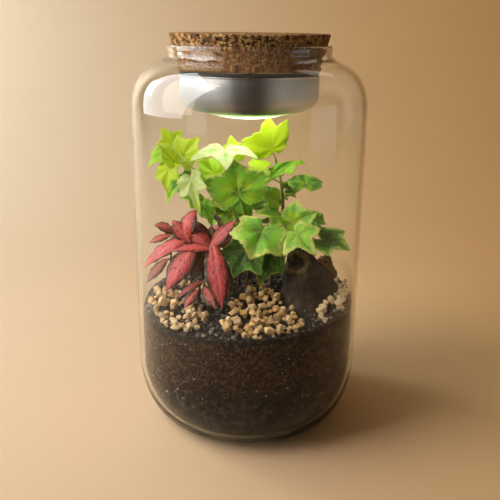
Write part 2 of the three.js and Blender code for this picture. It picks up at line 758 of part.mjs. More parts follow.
// Each patch is a thin bed of grit, an ellipse that ends at the glass, with stones scattered over it.
// Bed and stones keep off the round spots of KEEP_OFF, each given as its centre and its reach.
const GRAVEL = {
  gravel_left: { x: -52, y: -28, across: 29, deep: 48, count: 27, seed: 12, size: 4.6 },
  gravel_front: { x: 9, y: -50, across: 27, deep: 37, count: 24, seed: 23, size: 4.4 },
  gravel_right: { x: 66, y: -32, across: 17, deep: 40, count: 10, seed: 37, size: 3.3 },
  gravel_back_left: { x: -32, y: 56, across: 26, deep: 14, count: 7, seed: 41, size: 4.6 },
  gravel_back_right: { x: 32, y: 56, across: 24, deep: 14, count: 7, seed: 53, size: 4.6 },
};
const GRIT_DEPTH = 1.8;
const GRIT_SINK = 1;
const BED_SIDES = 14;
const STONE_CORNERS = 8;
const GRAVEL_REACH = JAR_RADIUS - GLASS - 1.5;
const KEEP_OFF = [
  [50, -12, 28],
  [40, -34, 13.5],
];

// The bed reaches a little under the ground, which then cuts it.
function gritBed({ x: middleX, y: middleY, across, deep }) {
  const heights = [-GRIT_SINK, GRIT_DEPTH];
  const rims = [];
  for (const height of heights) {
    for (let i = 0; i < BED_SIDES; i++) {
      const turn = (2 * Math.PI * i) / BED_SIDES;
      const [x, y] = [middleX + across * Math.cos(turn), middleY + deep * Math.sin(turn)];
      const inward = Math.min(1, GRAVEL_REACH / Math.hypot(x, y));
      rims.push([x * inward, y * inward, groundHeight(x * inward, y * inward) + height]);
    }
  }
  const ground = groundHeight(middleX, middleY);
  const middles = heights.map((height) => [middleX, middleY, ground + height]);
  const faces = [];
  for (let i = 0; i < BED_SIDES; i++) {
    const low = 2 + i;
    const lowNext = 2 + ((i + 1) % BED_SIDES);
    const [high, highNext] = [low + BED_SIDES, lowNext + BED_SIDES];
    faces.push([0, lowNext, low], [low, lowNext, highNext, high], [1, high, highNext]);
  }
  return KEEP_OFF.reduce((left, [x, y, reach]) => {
    const round = cylinder(reach, ground - 10, ground + 10, x, y, 20);
    return left.subtract(solidOf(round));
  }, solidOf(polyhedron([...middles, ...rims], faces)));
}

function stoneSpots({ x: middleX, y: middleY, across, deep, count, seed, size }) {
  const random = seeded(seed);
  const roots = [...Object.values(IVY), ...Object.values(MOSAIC)].map(({ root }) => [...root, 3]);
  const taken = [...KEEP_OFF, ...roots];
  const spots = [];
  for (let tries = 0; tries < 4000 && spots.length < count; tries++) {
    const radius = size * (0.65 + 0.7 * random());
    const turn = 2 * Math.PI * random();
    const out = 0.95 * Math.sqrt(random());
    const x = middleX + out * across * Math.cos(turn);
    const y = middleY + out * deep * Math.sin(turn);
    const atGlass = Math.hypot(x, y) + radius > GRAVEL_REACH;
    const blocked = taken.some(([cx, cy, reach]) => Math.hypot(x - cx, y - cy) < reach + radius);
    const crowded = spots.some((spot) => Math.hypot(x - spot.x, y - spot.y) < 0.95 * (spot.radius + radius));
    if (atGlass || blocked || crowded) continue;
    spots.push({ x, y, radius, seed: seed * 1000 + spots.length });
  }
  return spots;
}

// An angular chip: the hull of points spread over a flattened ball.
function stone({ x, y, radius, seed }) {
  const random = seeded(seed);
  const turn = 2 * Math.PI * random();
  const corners = [];
  for (let i = 0; i < STONE_CORNERS; i++) {
    const level = 1 - (2 * (i + 0.5)) / STONE_CORNERS;
    const round = Math.sqrt(1 - level * level);
    const angle = turn + i * 2.4;
    const reach = radius * (0.85 + 0.35 * random());
    const corner = new THREE.Vector3(round * Math.cos(angle), 0.85 * round * Math.sin(angle), 0.75 * level);
    corners.push(corner.multiplyScalar(reach));
  }
  return new ConvexGeometry(corners).translate(x, y, groundHeight(x, y) + 0.7 * radius);
}

function gravel(patch) {
  const stones = join(stoneSpots(patch).map(stone));
  return geometryOf(rootHoles(gritBed(patch).add(stones)).subtract(groundCut));
}

// Rock and moss

const ROCK_CORNERS = [
  [27, -26, 94],
  [38, -45, 94],
  [58, -37, 94],
  [74, -11, 95],
  [62, 10, 96],
  [40, 14, 96],
  [25, 0, 95],
  [29, -24, 120],
  [38, -34, 112],
  [72, -10, 113],
  [62, 7, 116],
  [36, 11, 124],
  [52, -13, 138],
  [46, -22, 132],
  [37, -9, 146],
  [31, -6, 143],
  [43, 2, 141],
];
const ROCK_PIT = { centre: [36, -21, 133], radius: 6, squash: 0.6 };

function rock() {
  const hull = new ConvexGeometry(ROCK_CORNERS.map(vector));
  const { centre, radius, squash } = ROCK_PIT;
  const pit = new THREE.IcosahedronGeometry(radius, 1).scale(1.2, 1, squash).translate(...centre);
  return geometryOf(solidOf(hull).subtract(solidOf(pit)).subtract(groundCut));
}

const MOSS = { x: 66, y: 26, across: 11, deep: 13, height: 20, sides: 14, lean: 0.45 };

function mossPatch() {
  const { x, y, across, deep, height, sides, lean } = MOSS;
  const rings = [1, 0.72, 0.38];
  const corners = [[x, y, groundHeight(x, y) - 2], [x, y, groundHeight(x, y) + height]];
  for (const ring of rings) {
    for (let i = 0; i < sides; i++) {
      const turn = (2 * Math.PI * i) / sides;
      const offset = [ring * across * Math.cos(turn), ring * deep * Math.sin(turn)];
      const cornerX = x + offset[0] * Math.cos(lean) - offset[1] * Math.sin(lean);
      const cornerY = y + offset[0] * Math.sin(lean) + offset[1] * Math.cos(lean);
      const bump = 1 + 0.18 * Math.sin(3.1 * i + 4 * ring);
      const rise = ring === 1 ? -2 : height * (1 - ring * ring) * bump;
      corners.push([cornerX, cornerY, groundHeight(cornerX, cornerY) + rise]);
    }
  }
  const corner = (ring, i) => 2 + ring * sides + (i % sides);
  const faces = [];
  for (let i = 0; i < sides; i++) {
    faces.push([0, corner(0, i + 1), corner(0, i)]);
    faces.push([corner(0, i), corner(0, i + 1), corner(1, i + 1), corner(1, i)]);
    faces.push([corner(1, i), corner(1, i + 1), corner(2, i + 1), corner(2, i)]);
    faces.push([1, corner(2, i), corner(2, i + 1)]);
  }
  return geometryOf(solidOf(polyhedron(corners, faces)).subtract(groundCut));
}

// The whole part

add("glass_jar", jar(), FINISH.glass);
add("cork_stopper", corkStopper(), FINISH.cork);
add("lamp_back_plate", lampBackPlate(), FINISH.blackPlastic);
screwSpots().forEach(([x, y], i) => add(`lamp_screw_${i + 1}`, lampScrew(x, y), FINISH.steel));
add("lamp_shell", lampShell(), FINISH.aluminium);
add("lamp_diffuser", lampDiffuser(), FINISH.diffuser);
add("led_board", ledBoard(), FINISH.board);
add("battery_pack", batteryPack(), FINISH.battery);
add("battery_lead_red", batteryLead(-1), FINISH.redLead);
add("battery_lead_black", batteryLead(1), FINISH.blackLead);

const wallFoot = innerHeel.slice(0, -2);
const wallTurn = innerHeel.slice(-1);
add("drainage_layer", layer(FLOOR_TOP, drainageHeight, wallFoot), FINISH.drainage);
add("soil", geometryOf(rootHoles(solidOf(layer(drainageHeight, soilHeight, wallTurn)))), FINISH.soil);
add("top_dressing", geometryOf(rootHoles(solidOf(layer(soilHeight, groundHeight, [])))), FINISH.charcoal);

for (const [name, patch] of Object.entries(GRAVEL)) add(name, gravel(patch), FINISH.gravel);
add("rock", rock(), FINISH.rock);
add("moss_patch", mossPatch(), FINISH.moss);

for (const [name, stem] of Object.entries(IVY)) add(name, plant(stem, ivyBlade, ivySeat), FINISH.ivy);
for (const [name, shoot] of Object.entries(MOSAIC)) {
  add(name, plant(shoot, mosaicBlade, mosaicSeat), FINISH.mosaicPlant);
}

export default terrarium;
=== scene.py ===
import math
import random

import bmesh
import bpy
from mathutils import Matrix, Vector, noise


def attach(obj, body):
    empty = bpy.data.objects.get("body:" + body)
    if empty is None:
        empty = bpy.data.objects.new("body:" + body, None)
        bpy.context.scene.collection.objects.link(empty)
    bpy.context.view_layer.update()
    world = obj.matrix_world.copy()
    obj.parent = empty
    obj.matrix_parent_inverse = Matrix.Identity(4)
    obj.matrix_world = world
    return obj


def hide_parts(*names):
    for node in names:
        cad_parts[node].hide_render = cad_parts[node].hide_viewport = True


bl_info = {
    "name": "Glass Plant Terrarium",
    "version": (1, 0, 0),
    "blender": (4, 5, 0),
    "location": "3D View > Sidebar > Terrarium",
    "description": "A jar terrarium of glass, cork, a lamp, soil, stones, ivy and a mosaic plant",
    "category": "Object",
}

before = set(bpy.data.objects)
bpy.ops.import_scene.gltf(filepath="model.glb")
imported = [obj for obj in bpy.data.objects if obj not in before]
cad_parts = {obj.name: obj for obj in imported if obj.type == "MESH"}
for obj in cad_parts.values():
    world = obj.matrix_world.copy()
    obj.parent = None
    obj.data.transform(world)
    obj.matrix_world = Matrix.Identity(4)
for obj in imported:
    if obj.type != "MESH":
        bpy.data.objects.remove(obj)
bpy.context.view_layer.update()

# Sizes are in millimetres, and places are in the part's frame. GAP keeps two pieces apart.
BODY = "root"
MM = 0.001
GAP = 0.3
# About a full turn in radians, how many sides a turned piece has, and the seeds of what is random.
ROUND = 6.28
FEW_SIDES, MORE_SIDES, MOST_SIDES = 128, 192, 320
SEEDS = {"ground": 4, "gravel": 8, "rock": 15, "ivy": 100, "mosaic": 200}

JAR_RADIUS = 87.5
GLASS_WALL = 3
INNER_RADIUS = JAR_RADIUS - GLASS_WALL
FILL_RADIUS = INNER_RADIUS - GAP
FLOOR_TOP = 5.5
HEEL_CENTRE = 59.5
HEEL_TOP = 52


# Settings


def shade(code):
    """A linear colour from its usual six-figure code."""
    parts = [int(code[i : i + 2], 16) / 255 for i in (0, 2, 4)]
    return [c / 12.92 if c <= 0.04045 else ((c + 0.055) / 1.055) ** 2.4 for c in parts]


def darker(colour, share):
    return [c * share for c in colour]


def hue(name, part, code):
    """A colour setting, for the part of the terrarium that has the colour."""
    kind = {"size": 3, "min": 0, "max": 1, "subtype": "COLOR"}
    about = f"Colour of {part}"
    return bpy.props.FloatVectorProperty(name=name, description=about, default=shade(code), **kind)


def amount(name, about, default, **kind):
    return bpy.props.FloatProperty(name=name, description=about, default=default, **kind)


def span(name, about, millimetres):
    return amount(name, about, millimetres * MM, min=0, unit="LENGTH", subtype="DISTANCE")


def watts(name, light, default):
    return amount(name, f"Power of {light}", default, min=0, unit="POWER")


class StageSettings(bpy.types.PropertyGroup):
    floor: hue("Floor", "the floor and backdrop on the left", "dccab5")
    # The floor's colour on the right is painted warm light, standing in for the warm fill there.
    painted_warm_light_right: hue("Floor, right", "the floor and backdrop on the right", "f2ca94")
    key: watts("Key light", "the tall softbox on the left", 2.9)
    glint: watts("Key reflection", "that softbox in glass and metal", 7.5)
    backdrop: watts("Backdrop light", "the light on the backdrop's left", 5.5)
    fill: watts("Dim reflections", "the dim softboxes in glass and metal", 1)
    sky: amount("Room light", "Brightness of the room", 0.14, min=0)
    exposure: amount("Exposure", "Exposure of the view in stops", 0)


class JarSettings(bpy.types.PropertyGroup):
    tint: hue("Glass tint", "light through the glass", "fcfdfc")
    base: hue("Thick glass", "light through the thick heel", "969784")
    ripple: span("Ripple", "Height of the faint ripple of blown glass", 0.05)
    smear: amount("Smears", "Roughness of the smears on the glass", 0.03, min=0, subtype="FACTOR")


class StopperSettings(bpy.types.PropertyGroup):
    light: hue("Light cork", "the palest cork granules", "ffd590")
    middle: hue("Cork", "most cork granules", "d2905a")
    dark: hue("Dark cork", "the bark in the cork", "301708")
    pressed: hue("Pressed cork", "the cork in the glass neck", "8f5232")
    granule: span("Granule", "Usual width of a cork granule", 2.1)


class LampSettings(bpy.types.PropertyGroup):
    metal: hue("Metal", "the spun aluminium", "928f8c")
    # The bright side and the dark band are painted reflections on the aluminium.
    painted_highlight: hue("Gleam", "the aluminium on its bright side", "f4f6f8")
    streak: hue("Streaks", "the aluminium's dull streaks", "55585e")
    shadow: hue("Dark band", "the aluminium's dark band", "3a3330")
    lens: hue("Lens", "the lamp's light", "f4fbe6")
    frost: hue("Frost", "the frost in the lens", "dfeccb")
    rim: hue("Lens rim", "the lens at its rim", "5c6b48")
    glow: amount("Glow", "Brightness of the lens", 6, min=0)


class GroundSettings(bpy.types.PropertyGroup):
    soil: hue("Soil", "the potting soil", "392415")
    crumb: hue("Crumbs", "the light crumbs in the soil", "7e5b3b")
    fibre: hue("Fibres", "the fibres in the soil", "a98a66")
    perlite: hue("Perlite", "the perlite grains", "c9c2b4")
    charcoal: hue("Charcoal", "the top dressing", "322a24")
    drainage: hue("Drainage", "the drainage layer", "1e1813")
    cream: hue("Pale gravel", "the palest stones", "f6dcb6")
    peach: hue("Warm gravel", "the warm stones", "ecbe74")
    rock: hue("Rock", "the rock", "4b3928")
    moss: hue("Moss", "the moss", "a98550")


class PlantSettings(bpy.types.PropertyGroup):
    lime: hue("Young ivy", "the youngest ivy leaves", "cde20e")
    green: hue("Ivy", "grown ivy leaves", "86d42c")
    shadow: hue("Old ivy", "the oldest ivy leaves", "1b4814")
    sage: hue("Ivy patches", "the grey-green patches of ivy", "8cc844")
    cream: hue("Ivy margin", "the pale margins of ivy", "dfe574")
    white: hue("White ivy", "the palest ivy leaves", "e6f0c4")
    pink: hue("Mosaic plant", "the heart of a red leaf", "dc4450")
    coral: hue("Leaf base", "a red leaf near its stalk", "cf3a2c")
    crimson: hue("Red shading", "a red leaf's shading", "a81c28")
    olive: hue("Green leaf", "the mosaic plant's green leaves", "4c4a2c")
    # This pale pink also paints sheen, lightening the middle of a red leaf as a painted highlight.
    pale_vein_and_sheen: hue("Pale veins", "a red leaf's palest veins", "f29c94")
    edge: hue("Mosaic edge", "a red leaf's dark edge", "28301a")
    fern: hue("Edge patches", "the green patches on that edge", "56642f")
    stem: hue("Stems", "the ivy stems", "a9bc48")
    bark: hue("Woody stems", "the oldest stems", "86603c")
    thickness: span("Leaf thickness", "Thickness of every leaf", 0.35)


# Shader kit


class Value:
    """What a socket gives, for use in expressions. Each operator adds its Math node."""

    def __init__(self, finish, socket):
        self.finish = finish
        self.socket = socket

    def _math(self, operation, *values):
        kind = "ShaderNodeVectorMath" if self.socket.type == "VECTOR" else "ShaderNodeMath"
        return self.finish.node(kind, {"operation": operation}, dict(enumerate(values)))

    def __add__(self, other):
        return self._math("ADD", self, other)

    __radd__ = __add__

    def __sub__(self, other):
        return self._math("SUBTRACT", self, other)

    def __rsub__(self, other):
        return self._math("SUBTRACT", other, self)

    def __mul__(self, other):
        return self._math("MULTIPLY", self, other)

    __rmul__ = __mul__

    def __truediv__(self, other):
        return self._math("DIVIDE", self, other)

    def __abs__(self):
        return self._math("ABSOLUTE", self)

    def most(self, other):
        return self._math("MAXIMUM", self, other)

    def sine(self):
        return self._math("SINE", self)

    def rise(self, low, high):
        """0 below low, 1 above high, and smooth between them."""
        sockets = {"Value": self, "From Min": low, "From Max": high}
        settings = {"interpolation_type": "SMOOTHSTEP"}
        return self.finish.node("ShaderNodeMapRange", settings, sockets)

    def fall(self, low, high):
        """1 below low, 0 above high, and smooth between them."""
        return 1 - self.rise(low, high)


class Finish:
    """A material and the nodes that expressions add to it."""

    def __init__(self, name):
        self.material = bpy.data.materials.new(name)
        self.material.use_nodes = True
        self.tree = self.material.node_tree
        self.tree.nodes.clear()

    def node(self, kind, settings=None, sockets=None, output=0):
        made = self.tree.nodes.new(kind)
        for key, value in (settings or {}).items():
            setattr(made, key, value)
        for key, value in (sockets or {}).items():
            self.feed(made.inputs[key], value)
        return Value(self, made.outputs[output])

    def feed(self, socket, value):
        if isinstance(value, Value):
            self.tree.links.new(value.socket, socket)
        elif socket.type == "RGBA":
            socket.default_value = [*value[:3], 1]
        else:
            socket.default_value = value

    def place(self, stretch=(1, 1, 1)):
        """The point on the piece, in millimetres."""
        point = self.node("ShaderNodeTexCoord", output="Object")
        return point * [share / MM for share in stretch]

    def point(self, x, y, z):
        return self.node("ShaderNodeCombineXYZ", {}, {0: x, 1: y, 2: z})

    def noise(self, size, detail=3, rough=0.55, stretch=(1, 1, 1), at=None):
        sockets = {
            "Vector": at or self.place(stretch),
            "Scale": 1 / size,
            "Detail": detail,
            "Roughness": rough,
        }
        return self.node("ShaderNodeTexNoise", {}, sockets)

    def cells(self, size, feature="F1", output="Distance", at=None):
        sockets = {"Vector": at or self.place(), "Scale": 1 / size}
        return self.node("ShaderNodeTexVoronoi", {"feature": feature}, sockets, output)

    def parts(self, vector):
        """The three numbers of a vector or colour."""
        colour = vector.socket.type == "RGBA"
        kind = "ShaderNodeSeparateColor" if colour else "ShaderNodeSeparateXYZ"
        return [self.node(kind, {}, {0: vector}, i) for i in range(3)]

    def values(self, name):
        """The three numbers that a piece's points carry under a name."""
        settings = {"attribute_name": name}
        return self.parts(self.node("ShaderNodeAttribute", settings, output="Vector"))

    def blend(self, share, first, second):
        """A colour between two colours."""
        sockets = {0: share, 6: first, 7: second}
        return self.node("ShaderNodeMix", {"data_type": "RGBA"}, sockets, 2)

    def layers(self, colour, *layers):
        """A colour under layers of others, each as dense as its mask says."""
        for mask, over in layers:
            colour = self.blend(mask, colour, over)
        return colour

    def bump(self, height, depth):
        """The normal of a relief, whose height runs from 0 to 1, with its depth in millimetres."""
        sockets = {"Height": height, "Distance": depth * MM, "Strength": 1.0}
        return self.node("ShaderNodeBump", {}, sockets)

    def shader(self, colour, roughness, normal, **sockets):
        """A Principled shader, whose other sockets are named with _ for a space."""
        named = {key.replace("_", " "): value for key, value in sockets.items()}
        named |= {"Base Color": colour, "Roughness": roughness, "Normal": normal}
        return self.node("ShaderNodeBsdfPrincipled", {}, named)

    def mixed(self, share, first, second):
        return self.node("ShaderNodeMixShader", {}, {0: share, 1: first, 2: second})

    def done(self, surface):
        output = self.tree.nodes.new("ShaderNodeOutputMaterial")
        self.tree.links.new(surface.socket, output.inputs["Surface"])
        return self.material

    def matt(self, colour, roughness, shine, relief):
        """A material without gloss, whose specular level is its shine."""
        return self.done(self.shader(colour, roughness, relief, Specular_IOR_Level=shine))


# Mesh kit


class Shape:
    """The points and faces of one piece, with the values that each point carries."""

    def __init__(self):
        self.points = []
        self.faces = []
        self.slots = []
        self.values = {"blade": [], "look": []}

    def add(self, points, faces, slot=0, blade=(0, 0, 0), look=(0, 0, 0)):
        start = len(self.points)
        self.points += [tuple(point) for point in points]
        self.faces += [tuple(start + corner for corner in face) for face in faces]
        self.slots += [slot] * len(faces)
        self.values["blade"] += blade if isinstance(blade, list) else [blade] * len(points)
        self.values["look"] += [look] * len(points)

    def piece(self, name, materials, nodes, slot, sharp=None):
        """Makes the mesh, which rides on the part's body and stands for the nodes."""
        mesh = bpy.data.meshes.new(name)
        mesh.from_pydata([[c * MM for c in point] for point in self.points], [], self.faces)
        for material in materials:
            mesh.materials.append(material)
        mesh.polygons.foreach_set("material_index", self.slots)
        for key, values in self.values.items():
            if any(any(value) for value in values):
                layer = mesh.attributes.new(key, "FLOAT_VECTOR", "POINT")
                layer.data.foreach_set("vector", [number for value in values for number in value])
        mesh.shade_smooth()
        if sharp is not None:
            mesh.set_sharp_from_angle(angle=math.radians(sharp))
        mesh.update()
        made = bpy.data.objects.new(name, mesh)
        bpy.context.scene.collection.objects.link(made)
        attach(made, BODY)
        if nodes:
            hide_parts(*nodes)
        return made


def ring_point(radius, turn):
    return radius * math.cos(turn), radius * math.sin(turn)


def turns(steps):
    """The angles of even steps round a circle."""
    return [math.tau * i / steps for i in range(steps)]


def quarter(steps):
    """The angles of even steps through a right angle."""
    return [math.pi / 2 * i / steps for i in range(steps + 1)]


def net(rows, columns, start=0, closed=True):
    """Faces between rows of points. In a closed net each row's last point joins its first."""
    faces = []
    for row in range(rows):
        low = start + row * columns
        for i in range(columns if closed else columns - 1):
            j = (i + 1) % columns
            faces.append((low + i, low + columns + i, low + columns + j, low + j))
    return faces


def turned(outline, steps):
    """A round piece. Its outline of radius and height goes up the outside and back inside."""
    axis = 1e-6
    points, faces, rings = [], [], []
    for radius, height in outline:
        start = len(points)
        if radius < axis:
            points.append((0, 0, height))
            rings.append([start] * steps)
        else:
            points += [(*ring_point(radius, turn), height) for turn in turns(steps)]
            rings.append(range(start, start + steps))
    above = rings[1:] + ([rings[0]] if outline[0][0] > axis else [])
    for low, high in zip(rings, above):
        for i in range(steps):
            j = (i + 1) % steps
            corners = [low[i], low[j], high[j], high[i]]
            face = [corner for k, corner in enumerate(corners) if corner != corners[k - 1]]
            if len(face) > 2:
                faces.append(face)
    return points, faces


def turned_piece(name, outline, sides, finish, node, slot, sharp):
    shape = Shape()
    shape.add(*turned(outline, sides))
    shape.piece(name, [finish], [node], slot, sharp)


def smooth_line(points, steps):
    """A smooth line through points, with the same number of steps between each two."""
    ends = [2 * points[0] - points[1], *points, 2 * points[-1] - points[-2]]
    line = []
    for a, b, c, d in zip(ends, ends[1:], ends[2:], ends[3:]):
        slope, bend, swing = c - a, 2 * a - 5 * b + 4 * c - d, 3 * b - a - 3 * c + d
        for t in [i / steps for i in range(steps)]:
            line.append(0.5 * (2 * b + slope * t + bend * t * t + swing * t**3))
    return [*line, points[-1]]


def smooth_outline(outline, steps):
    return [tuple(p)[:2] for p in smooth_line([Vector((r, z, 0)) for r, z in outline], steps)]


def rod(line, radii, sides):
    """A round stem along a line, closed at both ends."""
    points = []
    side = Vector((0.31, 0.67, 0.13))
    for i, point in enumerate(line):
        ahead = (line[min(i + 1, len(line) - 1)] - line[max(i - 1, 0)]).normalized()
        side = (side - ahead * side.dot(ahead)).normalized()
        up = ahead.cross(side)
        for turn in turns(sides):
            points.append(point + radii[i] * (math.cos(turn) * side + math.sin(turn) * up))
    faces = [(a, d, c, b) for a, b, c, d in net(len(line) - 1, sides)]
    faces.append(tuple(reversed(range(sides))))
    faces.append(tuple(range((len(line) - 1) * sides, len(line) * sides)))
    return points, faces


def rough(point, size, octaves=3):
    """Uneven height at a point, about -1 to 1, in lumps of a size."""
    return noise.fractal(Vector(point) / size, 0.9, 2.0, octaves)


# Jar

FOOT = [(40, 2.2), (44.5, 1.9), (47, 0.35), (49, 0), (59.5, 0)]
FOOT_HOLLOW = [(0, 2.2), (20, 2.2)]
SHOULDER = [(87.5, 246), (87.5, 264), (81, 275), (66.9, 280.4)]
NECK_OUTSIDE = [(66.9, 280.4), (63.4, 282.2), (60.4, 284.8), (59.9, 286.6), (60.3, 288.4)]
LIP = [(60.3, 291.2), (59.2, 292.3), (57.4, 292.3), (56.4, 291.1)]
NECK_INSIDE = [(56.4, 285.4), (57.6, 282.2), (60.4, 280)]
WALL_STEPS = 12
SHOULDER_STEPS = 24
HEEL_STEPS = 28


def shoulder_line(inset):
    """The shoulder's curve, moved into the jar by an inset."""
    line = []
    for t in [i / SHOULDER_STEPS for i in range(SHOULDER_STEPS + 1)]:
        weights = [(1 - t) ** 3, 3 * t * (1 - t) ** 2, 3 * t * t * (1 - t), t**3]
        line.append([sum(w * c[k] for w, c in zip(weights, SHOULDER)) for k in range(2)])
    moved = []
    for i, (radius, height) in enumerate(line):
        before, after = line[max(i - 1, 0)], line[min(i + 1, len(line) - 1)]
        along = Vector((after[0] - before[0], after[1] - before[1])).normalized()
        moved.append((radius - inset * along.y, height + inset * along.x))
    return moved


def heel_line(inset, bottom):
    """The round of the heel, from its lowest point to the straight wall."""
    reach = JAR_RADIUS - inset - HEEL_CENTRE
    return [
        (HEEL_CENTRE + reach * math.sin(t), HEEL_TOP - (HEEL_TOP - bottom) * math.cos(t))
        for t in quarter(HEEL_STEPS)
    ]


def inside_radius(height):
    """Inside radius of the jar at a height on the heel or the straight wall."""
    if height >= HEEL_TOP:
        return INNER_RADIUS
    share = (HEEL_TOP - height) / (HEEL_TOP - FLOOR_TOP)
    return HEEL_CENTRE + (INNER_RADIUS - HEEL_CENTRE) * math.sqrt(max(0, 1 - share * share))


def jar_outline():
    rise = SHOULDER[0][1] - HEEL_TOP
    heights = [HEEL_TOP + rise * i / WALL_STEPS for i in range(1, WALL_STEPS)]
    return [
        *FOOT_HOLLOW,
        *smooth_outline(FOOT, 4),
        *heel_line(0, 0)[1:],
        *[(JAR_RADIUS, height) for height in heights],
        *shoulder_line(0)[:-1],
        *smooth_outline([*NECK_OUTSIDE, *LIP, *NECK_INSIDE], 4)[:-1],
        *reversed(shoulder_line(GLASS_WALL)),
        *[(INNER_RADIUS, height) for height in reversed(heights)],
        *reversed(heel_line(GLASS_WALL, FLOOR_TOP)),
        (30, FLOOR_TOP),
        (0, FLOOR_TOP),
    ]


def glass_finish(settings):
    """Clear glass that is darker at its thick heel, and lets light through for shadows."""
    f = Finish("clear_glass")
    height = f.parts(f.place())[2]
    waves = f.noise(26, detail=1, stretch=(1, 1, 0.35))
    smears = f.noise(9, detail=5, stretch=(1, 1, 0.4)).rise(0.5, 0.75)
    glass = f.shader(
        f.blend(height.rise(2, 34), settings.base, settings.tint),
        smears * settings.smear,
        f.bump(waves, settings.ripple / MM),
        IOR=1.33,
        Specular_Tint=(0.4, 0.4, 0.4),
        Coat_Weight=height.rise(215, 245),
        Transmission_Weight=1.0,
    )
    lit = f.node("ShaderNodeBsdfTransparent", {}, {"Color": settings.tint})
    return f.done(f.mixed(f.node("ShaderNodeLightPath", output="Is Shadow Ray"), glass, lit))


class TERRARIUM_OT_jar(bpy.types.Operator):
    """Makes the jar: one turned wall of clear glass with a round heel and a rolled lip"""

    bl_idname = "terrarium.jar"
    bl_label = "Glass Jar"

    def execute(self, context):
        glass = glass_finish(context.scene.terrarium_jar)
        turned_piece("jar_glass", jar_outline(), MORE_SIDES, glass, "glass_jar", "glass", 60)
        return {"FINISHED"}


# Stopper

CORK_BOTTOM = 275.5
CORK_TOP = 300
CORK_RADII = (52, 58.5)
CORK_CORNER = 0.8
CORK_STEPS = 60
DEEPEST_PIT = 1.5
NECK_EDGE = (288, 292)


def cork_finish(settings):
    """Granules of several browns with bark between them, smoother and darker in the glass neck,
    with painted shade that darkens them towards the right.
    """
    f = Finish("cork")
    size = settings.granule / MM
    bent = f.place() + f.noise(2.2, 3) * 2.0
    chance, second, _ = f.parts(f.cells(size, output="Color", at=bent))
    gap = f.cells(size, "DISTANCE_TO_EDGE", at=bent)
    grain = f.noise(0.8, 6, 0.7)
    holes = f.noise(2.1, 4, 0.65).rise(0.56, 0.61)
    worn = f.noise(4, 3).rise(0.35, 0.55)
    x, _, z = f.parts(f.place())
    bare = 0.45 + z.rise(*NECK_EDGE) * 0.55
    colour = f.layers(
        settings.middle,
        (chance.rise(0.1, 0.75), settings.light),
        # Painted shade: the cork turns darker towards the right, away from the key light.
        (x.rise(-50, 60) * 0.25, darker(settings.middle, 0.35)),
        ((1 - bare) * 0.9, settings.pressed),
        (second.rise(0.78, 0.86) * bare * 0.8, settings.dark),
        (grain.rise(0.52, 0.72) * 0.3, settings.dark),
        (gap.fall(0.0, 0.14) * worn * bare * 0.85, settings.dark),
        (holes * bare * 0.9, settings.dark),
    )
    height = gap.rise(0.0, 0.2) * 0.5 + grain * 0.3 + (1 - holes) * 0.7
    return f.matt(colour, 0.88, 0.2, f.bump(height, 1.3))


def pit_depth(point):
    """How deep the cork is cut at a point, by the creases between granules and by holes."""
    nearest = noise.voronoi(Vector(point) / 2.6)[0]
    crease = max(0, 0.22 - (nearest[1] - nearest[0])) * 0.9
    x, y, z = point
    hole = max(0, rough((x + 7, y, z), 4) - 0.3) * 2.6
    return min(DEEPEST_PIT, crease + hole)


class TERRARIUM_OT_stopper(bpy.types.Operator):
    """Presses the stopper from cork granules, with pits between them"""

    bl_idname = "terrarium.stopper"
    bl_label = "Cork Stopper"

    def execute(self, context):
        low, high = CORK_RADII
        tall = CORK_TOP - CORK_BOTTOM - 2 * CORK_CORNER
        side = []
        for share in [i / (CORK_STEPS - 1) for i in range(CORK_STEPS)]:
            height = CORK_BOTTOM + CORK_CORNER + tall * share
            side.append((low + (high - low) * share, height))
        brim = high - CORK_CORNER
        top = [(brim * (1 - i / CORK_STEPS), CORK_TOP) for i in range(CORK_STEPS + 1)]
        outline = [(0, CORK_BOTTOM), (low - CORK_CORNER, CORK_BOTTOM), *side, *top]
        points, faces = turned(outline, MOST_SIDES)
        carved = []
        for x, y, z in points:
            radius, depth = math.hypot(x, y), pit_depth((x, y, z))
            at_top = z > CORK_TOP - 0.01
            pull = 0 if at_top or radius < low - 2 else depth / radius
            carved.append((x * (1 - pull), y * (1 - pull), z - (0.55 * depth if at_top else 0)))
        cork = Shape()
        cork.add(carved, faces)
        finish = cork_finish(context.scene.terrarium_stopper)
        cork.piece("stopper_cork", [finish], ["cork_stopper"], "cork")
        return {"FINISHED"}


# Lamp

SHELL_RADIUS = 51.5
SHELL_WALL = 1.5
SHELL_BOTTOM = 246
SHELL_TOP = 272.5
SHELL_CORNER = 12
SHELL_MOUTH = 38.5
SHELL_GROOVE = [(0, 262), (0, 270.6), (-0.25, 270.9), (-0.25, 271.5), (0, 271.8)]
PLATE_RADIUS = 51
PLATE_TOP = 275.2
PLATE_EDGE = 0.4
LENS_SAG = 6.6
LENS_FLANGE = 1.8
LENS_STEPS = 12

# The finish of each piece inside the lamp: its name, colour, roughness and how much it is metal.
INNER_PIECES = {
    "led_board": ("circuit_board", "e9ece8", 0.45, 0.0),
    "battery_pack": ("battery_wrap", "3c4a5c", 0.35, 0.0),
    "battery_lead_red": ("red_lead", "a52a22", 0.5, 0.0),
    "battery_lead_black": ("black_lead", "151515", 0.5, 0.0),
    "lamp_screw_1": ("screw_steel_1", "9a9a98", 0.35, 1.0),
    "lamp_screw_2": ("screw_steel_2", "9a9a98", 0.35, 1.0),
    "lamp_screw_3": ("screw_steel_3", "9a9a98", 0.35, 1.0),
}


